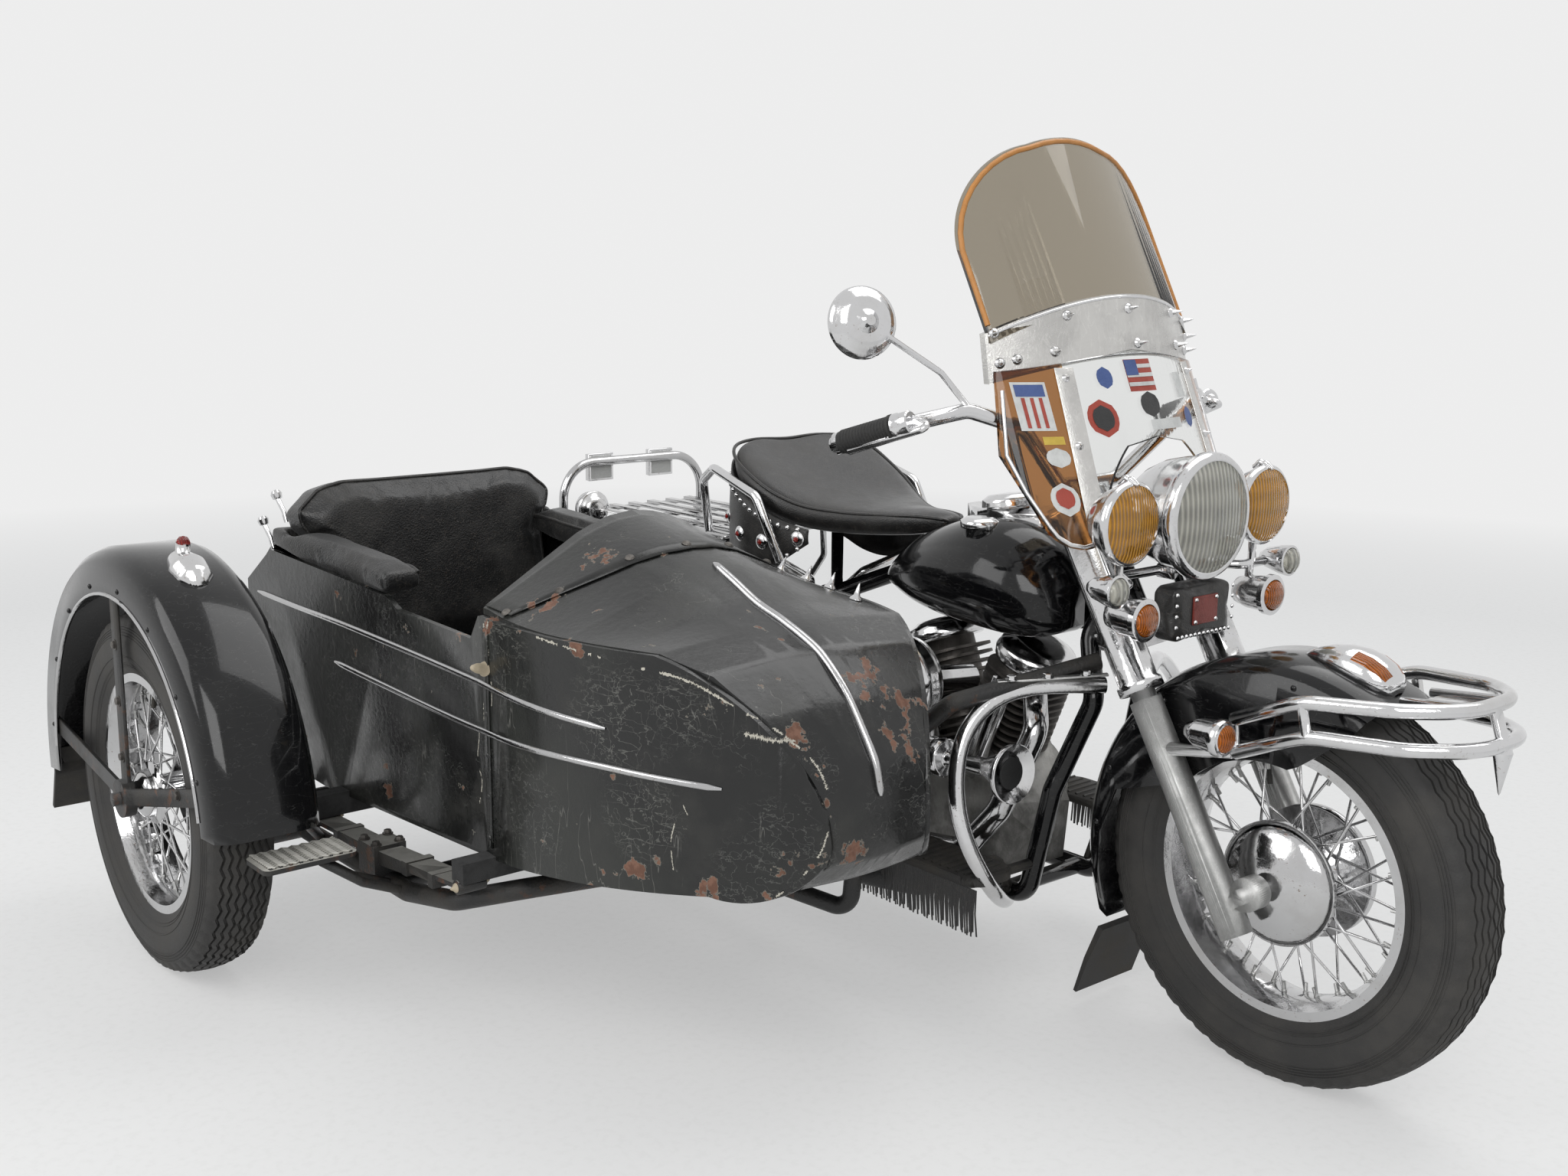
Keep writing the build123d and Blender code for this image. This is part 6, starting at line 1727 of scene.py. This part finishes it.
class SIDECAR_OT_fender_trim(Operator):
    """Edge beads, rivets and bolts of the fenders and of the wheel's strap braces"""

    bl_idname = "sidecar.fender_trim"
    bl_label = "Fender trim"

    def execute(self, context):
        rivet = context.scene.sidecar_sizes.rivet
        car = WHEELS["sidecar"]
        for label, side, finish in (("outer", -1, "dull_chrome"), ("inner", 1, "steel")):
            bm = bmesh.new()
            tube(bm, fender_rim(car, CAR_RIM, side * CAR_FENDER_HALF, 8, 178), 3.4, 8)
            add_piece(f"sidecar_fender_bead_{label}", bm, FINISHES[finish], CHASSIS)
        spots = ring_of_rivets("sidecar_fender", car, -1, 376, range(18, 176, 22))
        spots += ring_of_rivets("sidecar_fender", car, 1, 376, (14, 30, 150))
        set_out("sidecar_fender_rivets", head(rivet, 3), spots, FINISHES["enamel"], CHASSIS)
        front = WHEELS["front"]
        spots = []
        for side in (-1, 1):
            spots += ring_of_rivets("front_fender", front, side, 324, (72, 84, 128, 142, 158, 176))
            spots += ring_of_rivets("front_fender", front, side, 268, (168, 184))
        set_out("front_fender_rivets", head(rivet, 3), spots, FINISHES["enamel"], STEERING)
        met = [touch("wheel_bracket", (x, -1420, z), (0, 1, 0), 0.5) for x, z in BRACE_BOLTS]
        bolts = upright(spot for spot in met if spot)
        set_out("brace_bolts", hexagon(7, 6), bolts, FINISHES["iron"], CHASSIS)
        return {"FINISHED"}


# Front

BUMPER_LAMP = Vector((1452, 154, 566))
LAMP_SHELL = [(-47, 0), (-41, 12.6), (-21, 22.6), (8, 25.6), (13, 28.6), (23, 28.6), (26, 27), (27, 24),
              (22, 23)]
LAMP_GLASS = [(22, 24), (31, 19), (36, 10), (38, 0)]
# The front fender's lamp: share of its length from its rear tip, half width and height
TEARDROP = [
    (0.0, 2, 1), (0.06, 9, 8), (0.15, 18, 17), (0.28, 28, 26), (0.42, 36, 33), (0.56, 40, 37), (0.7, 41, 38),
    (0.82, 38, 35), (0.91, 32, 28), (0.97, 23, 18), (1.0, 10, 5),
]
# Its ends in degrees about the front axle, its faces across, and the rows and columns of faces that are glass
TEARDROP_REAR, TEARDROP_FRONT, TEARDROP_FACES = 91, 65, 16
GLASS_ROWS, GLASS_COLUMNS = (5, 6, 7), (3, 4, 5, 10, 11, 12)
BUMPER_PLATE = [(1708, -52, 650), (1780, -46, 656), (1800, -30, 650), (1800, 30, 650), (1780, 46, 656),
                (1708, 52, 650)]


def teardrop_lamp():
    """Shell of the front fender's lamp, laid on the fender, with an amber window on each side."""
    axle = Vector((*WHEELS["front"], AXLE_Z))
    rows = []
    for share, half, tall in TEARDROP:
        turn = radians(TEARDROP_REAR + (TEARDROP_FRONT - TEARDROP_REAR) * share)
        out = Vector((cos(turn), 0, sin(turn)))
        row = []
        for j in range(TEARDROP_FACES + 1):
            lean = (j - TEARDROP_FACES // 2) * pi / TEARDROP_FACES
            start = axle + out * 500 + Vector((0, half * sin(lean), 0))
            place, _ = touch("front_fender", start, -out)
            row.append(place + out * (tall * max(cos(lean), 0) ** 0.7 - 1.5))
        rows.append(row)
    bm = bmesh.new()
    grid(bm, rows)
    lamp = add_piece("front_fender_lamp_shell", bm, FINISHES["chrome"], STEERING, ["front_fender_lamp"],
                     50, 1.2)
    lamp.data.materials.append(FINISHES["amber_small"])
    for index, face in enumerate(lamp.data.polygons):
        row, column = divmod(index, TEARDROP_FACES)
        face.material_index = int(row in GLASS_ROWS and column in GLASS_COLUMNS)


class SIDECAR_OT_front_trim(Operator):
    """Amber lamps on the bumper, the teardrop lamp on the front fender and the bumper's bare plate"""

    bl_idname = "sidecar.front_trim"
    bl_label = "Front trim"

    def execute(self, context):
        for label, side in SIDES:
            centre = on_side(BUMPER_LAMP, side)
            bm = bmesh.new()
            lathe(bm, LAMP_SHELL, centre, (1, 0, 0), 40)
            add_piece(f"bumper_lamp_{label}", bm, FINISHES["chrome"], STEERING)
            bm = bmesh.new()
            glass_dome(bm, LAMP_GLASS, centre, (1, 0, 0), steps=40)
            add_piece(f"bumper_lamp_glass_{label}", bm, FINISHES["amber_small"], STEERING)
        teardrop_lamp()
        bm = bmesh.new()
        plate(bm, BUMPER_PLATE, 3, (0.1, 0, 1))
        add_piece("bumper_plate", bm, FINISHES["chrome"], STEERING, bevel=0.8)
        return {"FINISHED"}


# Engine and floorboards

HORN, HORN_AIM = (1090, -188, 424), (1, 0, 0.06)
HORN_BELL = [(-26, 16), (-8, 34), (-1, 46), (2, 50.5), (3.2, 49), (0, 44), (-8, 32), (-24, 14), (-26, 0)]
HORN_THROAT = [(-10, 0), (-10, 22), (-6, 27), (-4, 27), (-3, 22), (-5, 0)]
# Rings and middle bolt on the air cleaner: profile, y and steps round
CLEANER_RINGS = (([(-6, 76), (2, 79), (4, 76), (2, 73), (-6, 74), (-6, 76)], -198, 64),
                 ([(-6, 60), (2, 62), (4, 59), (-6, 57), (-6, 60)], -204, 64),
                 ([(-6, 0), (-6, 12), (3, 12), (6, 8), (7, 0)], -205, 6))
BOARD_TOP, BOARD_RIBS, FRINGE_STRANDS = 264, 15, 94
FRINGE_TOP = BOARD_TOP - 16


def floorboard_trim(label, side):
    """Rubber ribs on a floorboard, and the uneven leather fringe that hangs from its outer edge."""
    bm = bmesh.new()
    for i in range(BOARD_RIBS):
        x = 826 + i * 19
        tube(bm, [(x, side * 196, BOARD_TOP), (x, side * 280, BOARD_TOP)], 3.2, 8)
    add_piece(f"floorboard_ribs_{label}", bm, FINISHES["rubber"], CHASSIS)
    y = side * 286
    bm = bmesh.new()
    for i in range(FRINGE_STRANDS):
        x = 818 + i * 3.1
        sway = 3 * sin(i * 1.7) + 2 * sin(i * 0.61)
        length = 78 + 5 * sin(i * 2.3)
        line = [(x, y, FRINGE_TOP), (x + sway * 0.3, y + side * 2, FRINGE_TOP - length * 0.5),
                (x + sway, y - side * 1, FRINGE_TOP - length)]
        tube(bm, line, 1.9, 5, flat=0.6, up=(0, 1, 0))
    add_piece(f"floorboard_fringe_{label}", bm, FINISHES["leather"], CHASSIS)


class SIDECAR_OT_engine_trim(Operator):
    """Horn bell, air cleaner's rings, floorboards' ribs and leather fringe, and the crash bar's bracket"""

    bl_idname = "sidecar.engine_trim"
    bl_label = "Engine trim"

    def execute(self, context):
        bm = bmesh.new()
        lathe(bm, HORN_BELL, HORN, HORN_AIM, 56)
        add_piece("horn_bell", bm, FINISHES["chrome"], CHASSIS)
        bm = bmesh.new()
        lathe(bm, HORN_THROAT, HORN, HORN_AIM, 32)
        add_piece("horn_throat", bm, FINISHES["dial"], CHASSIS)
        bm = bmesh.new()
        for profile, y, steps in CLEANER_RINGS:
            lathe(bm, profile, (850, y, 540), (0, -1, 0), steps)
        add_piece("air_cleaner_rings", bm, FINISHES["chrome"], CHASSIS)
        for label, side in SIDES:
            floorboard_trim(label, side)
        bm = bmesh.new()
        plate(bm, [(1064, -208, 582), (1172, -58, 592), (1182, -66, 592), (1076, -218, 582)], 4, (0, 0, 1))
        add_piece("crash_bar_bracket", bm, FINISHES["satin"], CHASSIS, bevel=1)
        spots = [(place, (0, 0, 1), (1, 0, 0))
                 for place in ((1086, -196, 586), (1120, -146, 589), (1154, -92, 592))]
        set_out("crash_bar_bolts", hexagon(8, 7), spots, FINISHES["chrome"], CHASSIS)
        return {"FINISHED"}


STEPS = (SIDECAR_OT_stage, SIDECAR_OT_finishes, SIDECAR_OT_solids, SIDECAR_OT_tyres, SIDECAR_OT_wheels,
         SIDECAR_OT_front_lamps, SIDECAR_OT_rear_lamps, SIDECAR_OT_saddle, SIDECAR_OT_sidecar_seat,
         SIDECAR_OT_pouch, SIDECAR_OT_windshield, SIDECAR_OT_handlebar, SIDECAR_OT_body_trim,
         SIDECAR_OT_step_trim, SIDECAR_OT_fender_trim, SIDECAR_OT_front_trim, SIDECAR_OT_engine_trim)


class SIDECAR_PT_panel(Panel):
    """Lists the builders of the sidecar motorcycle's looks"""

    bl_idname = "SIDECAR_PT_panel"
    bl_label = "Sidecar motorcycle"
    bl_space_type = "VIEW_3D"
    bl_region_type = "UI"
    bl_category = "Sidecar"

    def draw(self, context):
        for group in (context.scene.sidecar_paint, context.scene.sidecar_sizes):
            for label in group.bl_rna.properties.keys():
                if label not in ("rna_type", "name"):
                    self.layout.prop(group, label)
        for step in STEPS:
            self.layout.operator(step.bl_idname)


CLASSES = (SidecarPaint, SidecarSizes, *STEPS, SIDECAR_PT_panel)


def register():
    for kind in CLASSES:
        bpy.utils.register_class(kind)
    bpy.types.Scene.sidecar_paint = PointerProperty(type=SidecarPaint)
    bpy.types.Scene.sidecar_sizes = PointerProperty(type=SidecarSizes)


def unregister():
    del bpy.types.Scene.sidecar_sizes
    del bpy.types.Scene.sidecar_paint
    for kind in reversed(CLASSES):
        bpy.utils.unregister_class(kind)


def main():
    register()
    for step in STEPS:
        group, name = step.bl_idname.split(".")
        getattr(getattr(bpy.ops, group), name)()


if __name__ == "__main__":
    main()
